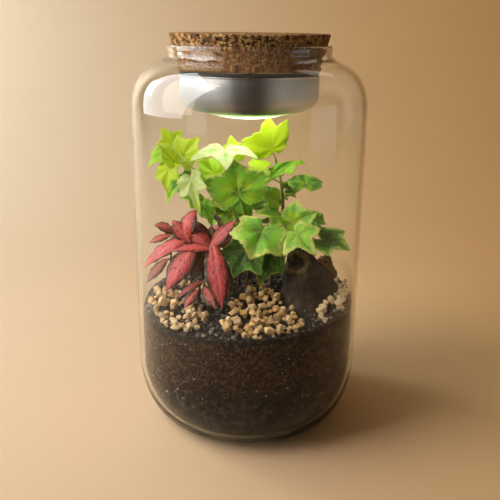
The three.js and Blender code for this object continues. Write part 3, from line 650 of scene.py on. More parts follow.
def metal_finish(settings):
    """Spun aluminium: fine rings and dull streaks, with painted reflections: a dark band in front
    and a highlight beside it.
    """
    f = Finish("satin_aluminium")
    spin = f.noise(1.2, 4, 0.7, stretch=(0.05, 0.05, 1))
    cloud = f.noise(14, 3)
    streak = f.noise(13, 1, stretch=(1, 1, 0.04)).rise(0.38, 0.62)
    x, y, _ = f.parts(f.place())
    # Painted reflections: a highlight on the right side, a faint one on the left, and a dark band
    # in front.
    painted_highlight = (x - 2).rise(2, 24).most((x * -1).rise(6, 20) * 0.2)
    band = abs(x - 2).fall(2, 16) * (y / 20 + 1).fall(0, 1)
    colour = f.layers(
        settings.metal,
        (streak * 0.4, settings.streak),
        (painted_highlight, settings.painted_highlight),
        (band * 0.55, settings.shadow),
    )
    roughness = 0.36 + spin * 0.12 + cloud * 0.06
    return f.done(f.shader(colour, roughness, f.bump(spin, 0.03), Metallic=1.0))


def lens_finish(settings):
    """A frosted lens that glows, and is dimmer at its rim."""
    f = Finish("lamp_lens")
    frost = f.noise(0.8, 4)
    x, y, _ = f.parts(f.place())
    light = f.layers(
        settings.lens,
        (frost.rise(0.2, 0.8) * 0.12, settings.frost),
        ((x * x + y * y).rise(600, 900), settings.rim),
    )
    glow = {"Emission_Color": light, "Emission_Strength": settings.glow}
    return f.done(f.shader(light, 0.45, f.bump(frost, 0.02), **glow))


def moulded_finish(name, code, roughness, metallic=0.0):
    """A small hidden piece: fine moulded grain, or the scratches of bright metal."""
    f = Finish(name)
    grain = f.noise(0.4, 4)
    colour = f.blend(grain.rise(0.3, 0.8) * 0.3, shade(code), darker(shade(code), 0.6))
    worn = roughness + (grain - 0.5) * 0.15
    return f.done(f.shader(colour, worn, f.bump(grain, 0.03), Metallic=metallic))


def shell_outline():
    middle, height = SHELL_RADIUS - SHELL_CORNER, SHELL_BOTTOM + SHELL_CORNER

    def corner(radius):
        ring = [ring_point(radius, turn - math.pi / 2) for turn in quarter(14)]
        return [(middle + out, height + up) for out, up in ring]

    return [
        (SHELL_MOUTH, SHELL_BOTTOM + 0.3),
        (SHELL_MOUTH + 0.3, SHELL_BOTTOM),
        *corner(SHELL_CORNER),
        *[(SHELL_RADIUS + out, up) for out, up in SHELL_GROOVE],
        (SHELL_RADIUS - 0.2, SHELL_TOP),
        (SHELL_RADIUS - SHELL_WALL, SHELL_TOP),
        *reversed(corner(SHELL_CORNER - SHELL_WALL)),
        (SHELL_MOUTH, SHELL_BOTTOM + SHELL_WALL),
    ]


def plate_outline():
    bottom, inner = SHELL_TOP + GAP, PLATE_RADIUS - PLATE_EDGE
    return [
        (0, bottom),
        (inner, bottom),
        (PLATE_RADIUS, bottom + PLATE_EDGE),
        (PLATE_RADIUS, PLATE_TOP - PLATE_EDGE),
        (inner, PLATE_TOP),
        (0, PLATE_TOP),
    ]


def lens_outline():
    rim, flange = SHELL_MOUTH - GAP, SHELL_MOUTH + LENS_FLANGE
    seat = SHELL_BOTTOM + SHELL_WALL + GAP
    dome = [
        (rim * i / LENS_STEPS, SHELL_BOTTOM - LENS_SAG * (1 - (i / LENS_STEPS) ** 2))
        for i in range(LENS_STEPS + 1)
    ]
    return [
        *dome,
        (rim, seat),
        (flange, seat),
        (flange, seat + SHELL_WALL),
        (rim - SHELL_WALL, seat + SHELL_WALL),
        *[(radius, height + SHELL_WALL) for radius, height in reversed(dome[:-1])],
    ]


class TERRARIUM_OT_lamp(bpy.types.Operator):
    """Spins the lamp's shell, sets its lens and back plate, and finishes the pieces inside"""

    bl_idname = "terrarium.lamp"
    bl_label = "Lamp"

    def execute(self, context):
        settings = context.scene.terrarium_lamp
        shell, plate, lens = shell_outline(), plate_outline(), lens_outline()
        metal, light = metal_finish(settings), lens_finish(settings)
        black = moulded_finish("black_plate", "181818", 0.55)
        for piece in (
            ("lamp_spun_shell", shell, MORE_SIDES, metal, "lamp_shell", "aluminium", 50),
            ("lamp_moulded_plate", plate, FEW_SIDES, black, "lamp_back_plate", "black_plastic", 40),
            ("lamp_domed_lens", lens, FEW_SIDES, light, "lamp_diffuser", "lamp_lens", 40),
        ):
            turned_piece(*piece)
        for node, finish in INNER_PIECES.items():
            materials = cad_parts[node].data.materials
            materials.clear()
            materials.append(moulded_finish(*finish))
        return {"FINISHED"}


# Ground

DRESSING_DEPTH = 4.5
DRAINAGE_LUMPS = 260
FIBRES = 1000
CHARCOAL_CRUMBS = 3000
# Grains in the soil: how many, their size, how they crowd to its foot, and how dark they are.
SOIL_GRAINS = [(170, 1.05, 1.6, 1.5), (520, 1.0, 1, 0.6)]
# The heights between which the soil turns dark.
SOIL_DEEP = (42, 68)
LAVA_LIGHT, LAVA_DARK, SOIL_DARK = shade("574637"), shade("120e0c"), shade("1e130b")
COAL_LIGHT, COAL_DARK, COAL_DUST = shade("66503a"), shade("12100e"), shade("a39d94")
OLD_FIBRE, OLD_PERLITE, OLD_BARK = shade("5d4028"), shade("9c8d78"), shade("2a1a10")


def drainage_height(x, y):
    return 42.5 + 2.2 * math.sin(x / 17 + 1) + 1.8 * math.cos(y / 13)


def ground_height(x, y):
    mound = 6 * math.exp(-(x * x + (y - 8) ** 2) / 3600)
    waves = 1.3 * math.sin(x / 11 + 0.4) * math.cos(y / 15 + 0.6)
    return 97 + 0.045 * x + 0.03 * y + mound + waves


def soil_height(x, y):
    return ground_height(x, y) - DRESSING_DEPTH


def soil_edge(x, y):
    """The soil's uneven top."""
    return soil_height(x, y) + 1.7 * rough((x, y, 3), 6)


def drainage_edge(x, y):
    """The drainage layer's uneven top, with soil washed into it."""
    return drainage_height(x, y) + 4.5 * rough((x, y, 9), 9)


def filling(under, top, relief, lump, rows=30, rings=20, bunch=1.0):
    """Ground that fills the jar between two heights, with lumps pressed against the glass."""
    sectors = 256
    columns = []
    for turn in turns(sectors):
        cos, sin = math.cos(turn), math.sin(turn)
        x, y = FILL_RADIUS * cos, FILL_RADIUS * sin
        low, high = under(x, y) + GAP, top(x, y)
        column = []
        for k in range(1, rings):
            radius = (inside_radius(low) - GAP) * k / rings
            column.append((radius, under(radius * cos, radius * sin) + GAP))
        for k in range(rows + 1):
            z = low + (high - low) * (k / rows) ** bunch
            radius = inside_radius(z) - GAP
            dent = relief * (0.55 + rough((radius * cos, radius * sin, z), lump))
            column.append((radius - dent, z))
        for k in range(rings - 1, 0, -1):
            radius = FILL_RADIUS * k / rings
            x, y = radius * cos, radius * sin
            column.append((radius, top(x, y) + 0.5 * relief * rough((x, y, 7), lump)))
        columns.append([(radius * cos, radius * sin, z) for radius, z in column])
    points = [(0, 0, under(0, 0) + GAP), (0, 0, top(0, 0))]
    for column in columns:
        points += column
    faces = []
    count = len(columns[0])
    for i in range(sectors):
        here, there = 2 + i * count, 2 + (i + 1) % sectors * count
        faces.append((0, there, here))
        faces += [(here + k, there + k, there + k + 1, here + k + 1) for k in range(count - 1)]
        faces.append((1, here + count - 1, there + count - 1))
    return points, faces


def any_turn(chance):
    return math.tau * chance.random()


def in_order(points, faces):
    """The same points and faces, sorted, since a bevel's own order changes from run to run."""
    order = sorted(range(len(points)), key=lambda i: tuple(points[i]))
    rank = {old: new for new, old in enumerate(order)}
    ranked = [[rank[corner] for corner in face] for face in faces]
    lowest = [face.index(min(face)) for face in ranked]
    faces = sorted(face[k:] + face[:k] for face, k in zip(ranked, lowest))
    return [points[i] for i in order], faces


def grain_shape(chance, corners, bevel=0.0):
    """An angular grain about 1 across its radius: the hull of uneven points on a spiral."""
    grain = bmesh.new()
    for i in range(corners):
        level = 1 - 2 * (i + 0.5) / corners
        out, turn = math.sqrt(1 - level * level), 2.4 * i + chance.random()
        reach = 0.82 + 0.36 * chance.random()
        corner = (out * math.cos(turn), 0.85 * out * math.sin(turn), 0.75 * level)
        grain.verts.new([reach * c for c in corner])
    bmesh.ops.convex_hull(grain, input=grain.verts)
    if bevel:
        bmesh.ops.dissolve_limit(grain, angle_limit=0.35, verts=grain.verts, edges=grain.edges)
        bmesh.ops.bevel(
            grain, geom=grain.edges[:], offset=bevel, segments=2, affect="EDGES", profile=0.6
        )
    bmesh.ops.triangulate(grain, faces=grain.faces)
    grain.verts.index_update()
    points = [vertex.co.copy() for vertex in grain.verts]
    faces = [[vertex.index for vertex in face.verts] for face in grain.faces]
    grain.free()
    return in_order(points, faces) if bevel else (points, faces)


def scatter_grain(shape, grain, chance, spot, radius, slot, look):
    """Adds one grain, turned at random, at a spot."""
    points, faces = grain
    angle = ROUND * chance.random()
    axis = Vector((chance.random(), chance.random(), chance.random() + 0.2))
    turn = Matrix.Rotation(angle, 3, axis)
    shape.add([turn @ point * radius + Vector(spot) for point in points], faces, slot, look=look)


def earth_finish(name, base, light, dark, lump, fleck=0.2, deep=None):
    """Crumbs of several browns with dark gaps and pale flecks, darker below the deep heights."""
    f = Finish(name)
    bent = f.place() + f.noise(3, 3) * 1.6
    crumb, other, _ = f.parts(f.cells(lump, output="Color", at=bent))
    gap = f.cells(lump, "DISTANCE_TO_EDGE", at=bent).rise(0.0, 0.16)
    patch = f.noise(12, 4)
    grit = f.noise(0.55, 5, 0.75)
    colour = f.layers(
        base,
        (crumb.rise(0.35, 1.0) * 0.7, light),
        (patch.rise(0.38, 0.66) * 0.5, dark),
        ((1 - gap) * 0.8, darker(dark, 0.25)),
        (grit.rise(0.56, 0.74) * fleck, light),
        (other.rise(0.9, 0.95) * 0.6, light),
    )
    if deep:
        height = f.parts(f.place())[2] + (patch - 0.5) * 55
        colour = f.blend(height.fall(*deep) * 0.75, colour, darker(dark, 0.4))
    relief = gap * 0.7 + grit * 0.5 + crumb * 0.3
    return f.matt(colour, 0.92, 0.2, f.bump(relief, 0.9))


def speck_finish(name, pale, deep):
    """Loose specks, each with a tone of its own, which its points carry."""
    f = Finish(name)
    tone, _, _ = f.values("look")
    grit = f.noise(0.5, 5, 0.7)
    colour = f.layers(pale, (tone, deep), (grit.rise(0.45, 0.75) * 0.4, darker(deep, 0.45)))
    return f.matt(colour, 0.85, 0.3, f.bump(grit, 0.25))


def make_drainage(settings, grains, chance):
    """The dark layer on the floor of the jar, with loose lumps at the glass."""
    drainage = Shape()
    drainage.add(*filling(lambda x, y: FLOOR_TOP, drainage_edge, 1.3, 5, bunch=1.6))
    for _ in range(DRAINAGE_LUMPS):
        turn = any_turn(chance)
        z = 12 + 30 * chance.random()
        spot = (*ring_point(inside_radius(z) - 1.5, turn), z)
        look = (0.25 + 0.75 * chance.random() ** 0.3, 0, 0)
        grain = chance.choice(grains)
        scatter_grain(drainage, grain, chance, spot, 0.5 + 0.7 * chance.random(), 1, look)
    finishes = [
        earth_finish("drainage", settings.drainage, LAVA_LIGHT, LAVA_DARK, 4, 0.35),
        speck_finish("drainage_specks", settings.perlite, settings.drainage),
    ]
    drainage.piece("drainage_lumps", finishes, ["drainage_layer"], "drainage")


def add_fibre(soil, chance):
    """One fibre that winds along the glass, kept if it lies in the soil."""
    turn = any_turn(chance)
    z = 42 + 52 * chance.random()
    slope = chance.uniform(-1.2, 1.2)
    line = []
    for _ in range(5):
        radius = inside_radius(z) - GAP - 0.15 - 0.25 * chance.random()
        line.append(Vector((*ring_point(radius, turn), z)))
        step = chance.uniform(0.7, 2.4)
        slope += chance.uniform(-0.7, 0.7)
        turn += step * math.cos(slope) / FILL_RADIUS
        z += step * math.sin(slope)
    if z < soil_height(*line[-1].xy) and line[0].z > drainage_height(*line[0].xy):
        width = chance.uniform(0.08, 0.19)
        look = (chance.random() ** 0.5, 0, 0)
        smooth = smooth_line(line, 2)
        soil.add(*rod(smooth, [width] * len(smooth), 4), 1, look=look)


def make_soil(settings, grains, chance):
    """The soil, with its fibres, perlite and bark at the glass."""
    soil = Shape()
    soil.add(*filling(drainage_edge, soil_edge, 0.7, 2.6, rows=44))
    for _ in range(FIBRES):
        add_fibre(soil, chance)
    for slot, (count, size, crowd, dark) in enumerate(SOIL_GRAINS, 2):
        for _ in range(count):
            x, y = ring_point(FILL_RADIUS, any_turn(chance))
            low, high = drainage_height(x, y) + 1, soil_height(x, y) - 1
            z = low + (high - low) * chance.random() ** crowd
            radius = size * (0.35 + 0.8 * chance.random())
            inset = (inside_radius(z) - GAP - 0.75 * radius) / FILL_RADIUS
            look = (chance.random() ** dark, 0, 0)
            spot = (x * inset, y * inset, z)
            scatter_grain(soil, chance.choice(grains), chance, spot, radius, slot, look)
    finishes = [
        earth_finish("soil", settings.soil, settings.crumb, SOIL_DARK, 1.5, 0.5, SOIL_DEEP),
        speck_finish("soil_fibres", settings.fibre, OLD_FIBRE),
        speck_finish("perlite", settings.perlite, OLD_PERLITE),
        speck_finish("bark_crumbs", settings.crumb, OLD_BARK),
    ]
    soil.piece("soil_bed", finishes, ["soil"], "soil")


def make_dressing(settings, grains, chance):
    """The thin layer of charcoal over the soil."""
    dressing = Shape()
    dressing.add(*filling(soil_edge, ground_height, 0.9, 2.4, rows=10, rings=60))
    for _ in range(CHARCOAL_CRUMBS):
        turn = any_turn(chance)
        radius = 0.4 + 2.4 * chance.random() ** 4
        x, y = ring_point((FILL_RADIUS - radius - 0.3) * math.sqrt(chance.random()), turn)
        look = (chance.random() ** 0.5, 0, 0)
        spot = (x, y, ground_height(x, y) + 0.3 * radius)
        scatter_grain(dressing, chance.choice(grains), chance, spot, radius, 1, look)
    finishes = [
        earth_finish("charcoal", settings.charcoal, COAL_LIGHT, COAL_DARK, 2.0, 0.4),
        speck_finish("charcoal_crumbs", COAL_DUST, settings.charcoal),
    ]
    dressing.piece("charcoal_dressing", finishes, ["top_dressing"], "charcoal")


class TERRARIUM_OT_ground(bpy.types.Operator):
    """Fills the jar with drainage, soil with its fibres and perlite, and a dark top dressing"""

    bl_idname = "terrarium.ground"
    bl_label = "Drainage, Soil and Dressing"

    def execute(self, context):
        settings = context.scene.terrarium_ground
        chance = random.Random(SEEDS["ground"])
        grains = [grain_shape(chance, 9) for _ in range(12)]
        make_drainage(settings, grains, chance)
        make_soil(settings, grains, chance)
        make_dressing(settings, grains, chance)
        return {"FINISHED"}


# Gravel, rock and moss

# Each patch: its middle and reach, its taper to the back, its stones, its seed and its warmth.
GRAVEL = {
    "gravel_left": ((-52, -28), (29, 48), 0, 105, 12, 0.35),
    "gravel_front": ((10, -45), (27, 40), 0.45, 118, 23, 0.85),
    "gravel_right": ((68, -30), (17, 42), 0, 46, 37, 0.25),
    "gravel_back_left": ((-32, 56), (26, 14), 0, 34, 41, 0.5),
    "gravel_back_right": ((32, 56), (24, 14), 0, 34, 53, 0.5),
}
GRAVEL_BROWN, GRAVEL_CREAM, GRAVEL_GRIT = shade("8d6238"), shade("f0dfbd"), shade("7d5a38")
# Where no stone lies: x, y and radius of a round place.
ROCK_PLACES = [(47, -8, 23), (42, -31, 13)]
ROOT_KEEP = 2.5
STONE_TRIES = 12000
HIGHEST_STONE = 8


def gravel_finish(settings):
    """Stones of cream and peach, each with a tone of its own, which its points carry."""
    f = Finish("gravel")
    tone, warm, _ = f.values("look")
    grit = f.noise(0.7, 5, 0.7)
    cloud = f.noise(3.5, 3).rise(0.35, 0.7)
    colour = f.layers(
        settings.cream,
        (warm, settings.peach),
        (tone * 0.7, GRAVEL_BROWN),
        (cloud * 0.25, GRAVEL_CREAM),
        (grit.rise(0.5, 0.72) * 0.5, GRAVEL_GRIT),
    )
    return f.matt(colour, 0.78, 0.35, f.bump(grit * 0.6 + cloud * 0.4, 0.3))


def stone_spots(middle, reach, taper, count, chance, seed):
    """Where a patch's stones lie and how large they are. Later ones lie on those below."""
    spots = []
    roots = [(*plant[0], ROOT_KEEP) for plant in (IVY | MOSAIC).values()]
    keep_off = ROCK_PLACES + roots
    for _ in range(STONE_TRIES):
        if len(spots) == count:
            break
        radius = 2.2 + 2.9 * chance.random() ** 1.4
        turn, out = any_turn(chance), math.sqrt(chance.random())
        x = middle[0] + out * reach[0] * math.cos(turn) * (1 - taper * out * math.sin(turn))
        y = middle[1] + out * reach[1] * math.sin(turn)
        here = (x, y)
        near = [s for s in spots if math.dist(here, s[:2]) < 0.68 * (s[3] + radius)]
        blocked = any(math.dist(here, s[:2]) < s[2] + 0.8 * radius for s in keep_off)
        sparse = rough((x, y, 9 * seed), 13) < -0.24
        outside = math.hypot(x, y) + 1.05 * radius > INNER_RADIUS - 0.8
        if outside or blocked or sparse or len(near) > 1:
            continue
        rests = [s[2] - ground_height(*s[:2]) + 0.55 * (s[3] + radius) for s in near]
        lift = max(rests or [0.5 * radius])
        if lift < HIGHEST_STONE:
            spots.append((x, y, ground_height(x, y) + lift, radius))
    return spots


class TERRARIUM_OT_gravel(bpy.types.Operator):
    """Scatters the patches of pale angular gravel over the dressing"""

    bl_idname = "terrarium.gravel"
    bl_label = "Gravel"

    def execute(self, context):
        finish = gravel_finish(context.scene.terrarium_ground)
        shaper = random.Random(SEEDS["gravel"])
        grains = [grain_shape(shaper, 8, 0.05) for _ in range(24)]
        for node, (middle, reach, taper, count, seed, warm) in GRAVEL.items():
            chance = random.Random(seed)
            patch = Shape()
            for *spot, radius in stone_spots(middle, reach, taper, count, chance, seed):
                dark = chance.random() ** 2
                warmth = min(1, max(0, warm + chance.uniform(-0.4, 0.4)))
                look = (dark, warmth, chance.random())
                scatter_grain(patch, chance.choice(grains), chance, spot, radius, 0, look)
            patch.piece(node + "_stones", [finish], [node], "gravel", sharp=35)
        return {"FINISHED"}


ROCK_FOOT = [(27, -26, 94), (38, -45, 94), (58, -37, 94), (74, -11, 95), (62, 10, 96)]
ROCK_FOOT += [(40, 14, 96), (25, 0, 95)]
ROCK_SIDES = [(29, -24, 120), (38, -34, 112), (72, -10, 113), (62, 7, 116), (36, 11, 124)]
ROCK_TOP = [(52, -13, 138), (46, -22, 132), (37, -9, 146), (31, -6, 143), (43, 2, 141)]
ROCK_CUTS = 15
# The pit's near-black colour is painted shade in its hollow.
ROCK_GRIT, ROCK_CRACK, PIT_PAINTED_SHADE = shade("857868"), shade("0f0c0a"), shade("0c0a07")
PIT_CENTRE = Vector((36, -21, 133))
PIT_REACH = (9, 8, 6)
PIT_RIM = 1.15
MOSS_CENTRE = (66, 26)
MOSS_REACH = (11, 13)
MOSS_HEIGHT = 20
MOSS_TURN = 0.45
MOSS_RINGS, MOSS_SIDES = 14, 56
MOSS_SHADE, BED_LIGHT, BED_DARK = shade("3a3a1c"), shade("c9b070"), shade("4a3520")
DRY_LIGHT, DRY_DARK = shade("d8ae74"), shade("66502a")
LITTER_LIGHT, LITTER_DARK = shade("d39a5c"), shade("4a3a1c")


def rock_finish(settings):
    """Dark stone with painted shade in its pit; its points carry how deep in the pit they lie and
    how near its rim.
    """
    f = Finish("rock")
    pit, rim, _ = f.values("blade")
    cloud = f.noise(11, 6, 0.65)
    bent = f.place() + f.noise(4, 4) * 6
    crack = f.cells(9, "DISTANCE_TO_EDGE", at=bent).rise(0, 0.08)
    grit = f.noise(0.9, 5, 0.75)
    green = (f.noise(5, 5, 0.7) + rim * 0.2).rise(0.52, 0.64)
    colour = f.layers(
        darker(settings.rock, 0.4),
        (cloud.rise(0.36, 0.66), settings.rock),
        (grit.rise(0.5, 0.74) * 0.55, ROCK_GRIT),
        ((1 - crack) * 0.6, ROCK_CRACK),
        (green * (0.12 + rim * 0.4), settings.moss),
        # Painted shade: the pit is darkened to near black.
        (pit * 0.9, PIT_PAINTED_SHADE),
    )
    height = crack * 0.4 + grit * 0.4 + cloud * 0.6
    return f.matt(colour, 0.8, 0.35, f.bump(height, 1.2))


def pit_steps(vector):
    """A vector counted in the pit's own reach, so that the pit is a ball of radius 1."""
    return Vector([vector[k] / PIT_REACH[k] for k in range(3)])


def rock_form():
    """The rock's points and faces, and how deep in the pit and how near its rim each point is."""
    stone = bmesh.new()
    for corner in ROCK_FOOT + ROCK_SIDES + ROCK_TOP:
        stone.verts.new(corner)
    bmesh.ops.convex_hull(stone, input=stone.verts)
    bmesh.ops.triangulate(stone, faces=stone.faces)
    bmesh.ops.subdivide_edges(stone, edges=stone.edges, cuts=ROCK_CUTS, use_grid_fill=True)
    every_axis = {f"use_axis_{axis}": True for axis in "xyz"}
    for _ in range(2):
        bmesh.ops.smooth_vert(stone, verts=stone.verts, factor=0.5, **every_axis)
    stone.normal_update()
    stone.verts.index_update()
    points, marks = [], []
    for vertex in stone.verts:
        point, normal = vertex.co, vertex.normal
        facet = noise.voronoi(point / 13)[0][0] * 2.6 + noise.voronoi(point / 4.5)[0][0] * 0.9
        moved = point + normal * (1.8 * rough(point, 14, 4) - facet + 0.9)
        offset, inward = pit_steps(moved - PIT_CENTRE), pit_steps(normal)
        near_rim = 1 - abs(offset.length - PIT_RIM) / 0.5
        marks.append((max(0, 1.1 - offset.length), max(0, near_rim), 0))
        if offset.length < 1:
            a, b, c = inward.dot(inward), offset.dot(inward), offset.dot(offset) - 1
            moved = moved - normal * (b + math.sqrt(b * b - a * c)) / a
        points.append(moved)
    faces = [[vertex.index for vertex in face.verts] for face in stone.faces]
    stone.free()
    return points, faces, marks


def tuft(shape, chance, root, size, count):
    """A tuft of fine moss leaves that lean out from a point."""
    for _ in range(count):
        turn, lean = any_turn(chance), 0.9 * chance.random()
        aim = Vector((*ring_point(lean, turn), 1)).normalized() * size * chance.uniform(0.6, 1.2)
        side = aim.cross(Vector((0, 0.3, 1))).normalized() * 0.22
        middle = root + aim * 0.55 + side.cross(aim).normalized() * 0.15
        points = [root - side, root + side, middle + side, middle - side, root + aim]
        shape.add(points, [(0, 1, 2, 3), (3, 2, 4)], 1, look=(chance.random(), 0, 0))


def make_rock(settings, chance):
    """The rock with its pit, and moss round the pit and on its left."""
    points, faces, marks = rock_form()
    rock = Shape()
    rock.add(points, faces, 0, marks)
    for point in points:
        away = pit_steps(point - PIT_CENTRE).length
        near_pit = abs(away - PIT_RIM) < 0.3 and point.z > PIT_CENTRE.z - 2
        mossy = rough(point, 10) > 0.22 and point.z > 120 and point.x < 46
        if chance.random() < (0.35 if near_pit else 0.12 if mossy else 0):
            tuft(rock, chance, point, 1.3, 4)
    finishes = [rock_finish(settings), speck_finish("moss_leaves", settings.moss, MOSS_SHADE)]
    rock.piece("rock_with_pit", finishes, ["rock"], "rock", sharp=45)


def make_moss(settings, chance):
    """The low clump of dry moss behind the rock, with litter in it."""
    (x0, y0), (across, deep) = MOSS_CENTRE, MOSS_REACH
    cos, sin = math.cos(MOSS_TURN), math.sin(MOSS_TURN)
    points = []
    for share in [ring / MOSS_RINGS for ring in range(MOSS_RINGS + 1)]:
        for turn in turns(MOSS_SIDES):
            out, up = share * across * math.cos(turn), share * deep * math.sin(turn)
            x, y = x0 + out * cos - up * sin, y0 + out * sin + up * cos
            lump = 0.95 + 0.5 * rough((x, y, 0), 5)
            rise = MOSS_HEIGHT * (1 - share * share) * lump - 1
            points.append(Vector((x, y, ground_height(x, y) + rise)))
    clump = Shape()
    clump.add(points, net(MOSS_RINGS, MOSS_SIDES))
    crumbs = [grain_shape(chance, 9) for _ in range(8)]
    for point in points:
        tuft(clump, chance, point, 2.6, 3)
        if chance.random() < 0.55:
            radius = chance.uniform(0.6, 2)
            crumb = chance.choice(crumbs)
            scatter_grain(clump, crumb, chance, point, radius, 2, (chance.random(), 0, 0))
    finishes = [
        earth_finish("moss_bed", settings.moss, BED_LIGHT, BED_DARK, 1.6),
        speck_finish("dry_moss_leaves", DRY_LIGHT, DRY_DARK),
        speck_finish("leaf_litter", LITTER_LIGHT, LITTER_DARK),
    ]
    clump.piece("moss_clump", finishes, ["moss_patch"], "moss")


class TERRARIUM_OT_rock(bpy.types.Operator):
    """Carves the rock with its pit, and grows the moss on it and behind it"""

    bl_idname = "terrarium.rock"
    bl_label = "Rock and Moss"

    def execute(self, context):
        settings = context.scene.terrarium_ground
        chance = random.Random(SEEDS["rock"])
        make_rock(settings, chance)
        make_moss(settings, chance)
        return {"FINISHED"}


# Plants

# Each stem gives the place of its root, its radius, the points it grows through and its leaves. A
# leaf gives the base and tip of its blade, the way its upper face looks, and its breadth. For ivy
# its age follows, from 0 for young to 1 for old, how much of it is pale, and for some its outline,
# droop and fold. For the mosaic plant its arch follows, how red it is and how much is dark.

IVY = {
    "ivy_left": [
        (-7, 8),
        1.3,
        [(-6, 6, 125), (-4, 0, 148), (-8, -8, 163), (-20, -10, 184)]
        + [(-33, -8, 195), (-44, -6, 204), (-54, 0, 213)],
        ((-60, 12, 218), (-68, 16, 229), (0.1, -0.8, 0.6), 1, 0.1, 0.1, "three", 0, 0.1),
        ((-63, 0, 214), (-78, -5, 202), (-0.2, -0.7, 0.7), 0.9, 0.3, 0.3, "slim", -0.1, 0.1),
        ((-56, -14, 209), (-67, -18, 224), (-0.1, -0.8, 0.5), 0.8, 0.05, 0.6, "slim", -0.2, 0.3),
        ((-50, 1, 210), (-38, 5, 225), (0, -0.8, 0.6), 0.9, 0.1, 0.15),
        ((-60, -10, 202), (-61, -18, 187), (-0.3, -0.8, 0.4), 0.8, 0.15, 0.2),
        ((-42, -22, 197), (-33, -31, 172), (-0.35, -0.85, 0.4), 0.95, 0.0, 1.3, "arrow", 0.1, 0.35),
        ((-54, -4, 190), (-62, -10, 174), (-0.6, -0.7, 0.3), 0.7, 0.6, 0.8, "slim", 0, 0.3),
        ((-37, -2, 174), (-53, -8, 181), (0, -0.5, 0.85), 0.75, 0.55, 0.1),
        ((-46, 7, 192), (-56, 5, 180), (0.3, -0.8, 0.5), 0.7, 0.8, 0.0),
        ((-27, 4, 196), (-41, 10, 206), (0, -0.7, 0.7), 0.9, 0.2, 0.1),
        ((-33, -13, 174), (-27, -19, 160), (0.5, -0.8, 0.3), 0.6, 0.5, 0.7),
    ],
    "ivy_middle": [
        (0, -2),
        1.3,
        [(1, -2, 130), (-2, -6, 165), (-6, -13, 182), (-9, -9, 196), (-15, -6, 208)],
        ((-18, -11, 216), (-17, -32, 205), (0, -0.4, 0.9), 1.15, 0.35, 1.4, "three", -0.05, 0.3),
        ((-12, 14, 209), (-14, 20, 223), (0, -0.75, 0.65), 0.9, 0.15, 0.1),
        ((-7, -22, 187), (-11, -12, 212), (0, -0.8, 0.6), 1.2, 0.42, 0.55),
        ((-13, 9, 178), (-28, 3, 170), (-0.1, -0.85, 0.5), 1.1, 0.7, 0.3),
        ((-9, 12, 170), (-15, 6, 156), (-0.1, -0.9, 0.4), 1.1, 0.65, 0.1),
        ((-5, 2, 177), (3, -4, 164), (0.1, -0.9, 0.3), 0.9, 0.4, 0.2),
        ((3, -5, 202), (17, -12, 196), (0.1, -0.6, 0.8), 1.1, 0.05, 0.5),
    ],
    "ivy_tall": [
        (14, 8),
        1.6,
        [(15, 6, 125), (20, 4, 146), (27, 4, 166), (26, 5, 186), (23, 9, 198), (21, 8, 207)],
        ((18, 5, 215), (15, 8, 239), (0, -0.93, 0.35), 1.1, 0.0, 0.05, "crown", 0, 0.05),
        ((17, -1, 196), (35, -1, 208), (0.1, -0.75, 0.65), 0.5, 0.4, 0.2, "slim", 0.05, 0.1),
        ((44, 4, 187), (45, 16, 195), (0, -0.6, 0.75), 1, 0.62, 0.45, "fan", 0, 0),
        ((21, -10, 179), (11, -15, 185), (0, -0.8, 0.6), 0.9, 0.4, 0.1),
        ((31, 18, 181), (40, 24, 180), (0, -0.8, 0.6), 1, 0.8, 0.0),
        ((18, 9, 177), (5, 0, 170), (0, -0.8, 0.6), 0.85, 0.8, 0.0),
        ((30, 20, 196), (42, 34, 203), (0.2, 0.5, 0.85), 1, 0.3, 0.4),
        ((20, 22, 178), (10, 38, 180), (0, 0.5, 0.85), 1.1, 0.5, 0.3),
    ],
    "ivy_front": [
        (8, -14),
        1.3,
        [(8, -14, 122), (6, -15, 145), (12, -17, 160)],
        ((11, -37, 162), (2, -49, 142), (0, -0.88, 0.47), 1.15, 0.5, 0.85, "five", 0.05, 0.15),
        ((23, -18, 167), (6, -27, 175), (0, -0.5, 0.85), 0.8, 0.45, 0.95),
        ((1, -29, 146), (-11, -36, 124), (-0.2, -0.9, 0.3), 0.9, 0.95, 0.12),
        ((16, -23, 145), (9, -30, 116), (0.1, -0.9, 0.35), 0.65, 0.95, 0.08),
        ((34, -21, 165), (52, -25, 174), (0.1, -0.85, 0.5), 0.95, 0.65, 0.8),
        ((36, -37, 160), (49, -48, 147), (0.1, -0.8, 0.6), 0.9, 0.5, 1.05, "three", 0, 0.15),
    ],
    "ivy_right": [
        (19, -7),
        1.3,
        [(19, -7, 122), (24, -8, 146), (33, -10, 157), (45, -6, 152)],
        ((61, 8, 142), (81, -3, 137), (0.2, -0.7, 0.7), 0.9, 0.95, 0.6),
        ((52, 6, 160), (62, 2, 157), (0, -0.7, 0.7), 0.9, 0.9, 0.0),
        ((44, 14, 152), (60, 26, 146), (0.4, 0.5, 0.8), 1.1, 0.7, 0.3),
    ],
    "ivy_back": [
        (2, 30),
        1.3,
        [(2, 31, 130), (-2, 34, 155), (-10, 38, 176), (-22, 38, 188)],
        ((-27, 34, 197), (-48, 38, 202), (-0.3, 0.4, 0.85), 1.05, 0.3, 0.5),
        ((-13, 49, 184), (-19, 67, 168), (-0.1, 0.9, 0.4), 1.1, 0.4, 0.4),
        ((4, 46, 165), (14, 62, 148), (0.2, 0.9, 0.4), 1.1, 0.6, 0.3),
        ((-16, 44, 158), (-36, 52, 146), (-0.4, 0.8, 0.4), 1.1, 0.7, 0.3),
        ((12, 34, 150), (34, 42, 146), (0.3, 0.5, 0.8), 1, 0.8, 0.2),
        ((-13, 35, 151), (-32, 40, 147), (-0.4, -0.3, 0.85), 0.9, 0.8, 0.1),
    ],
}

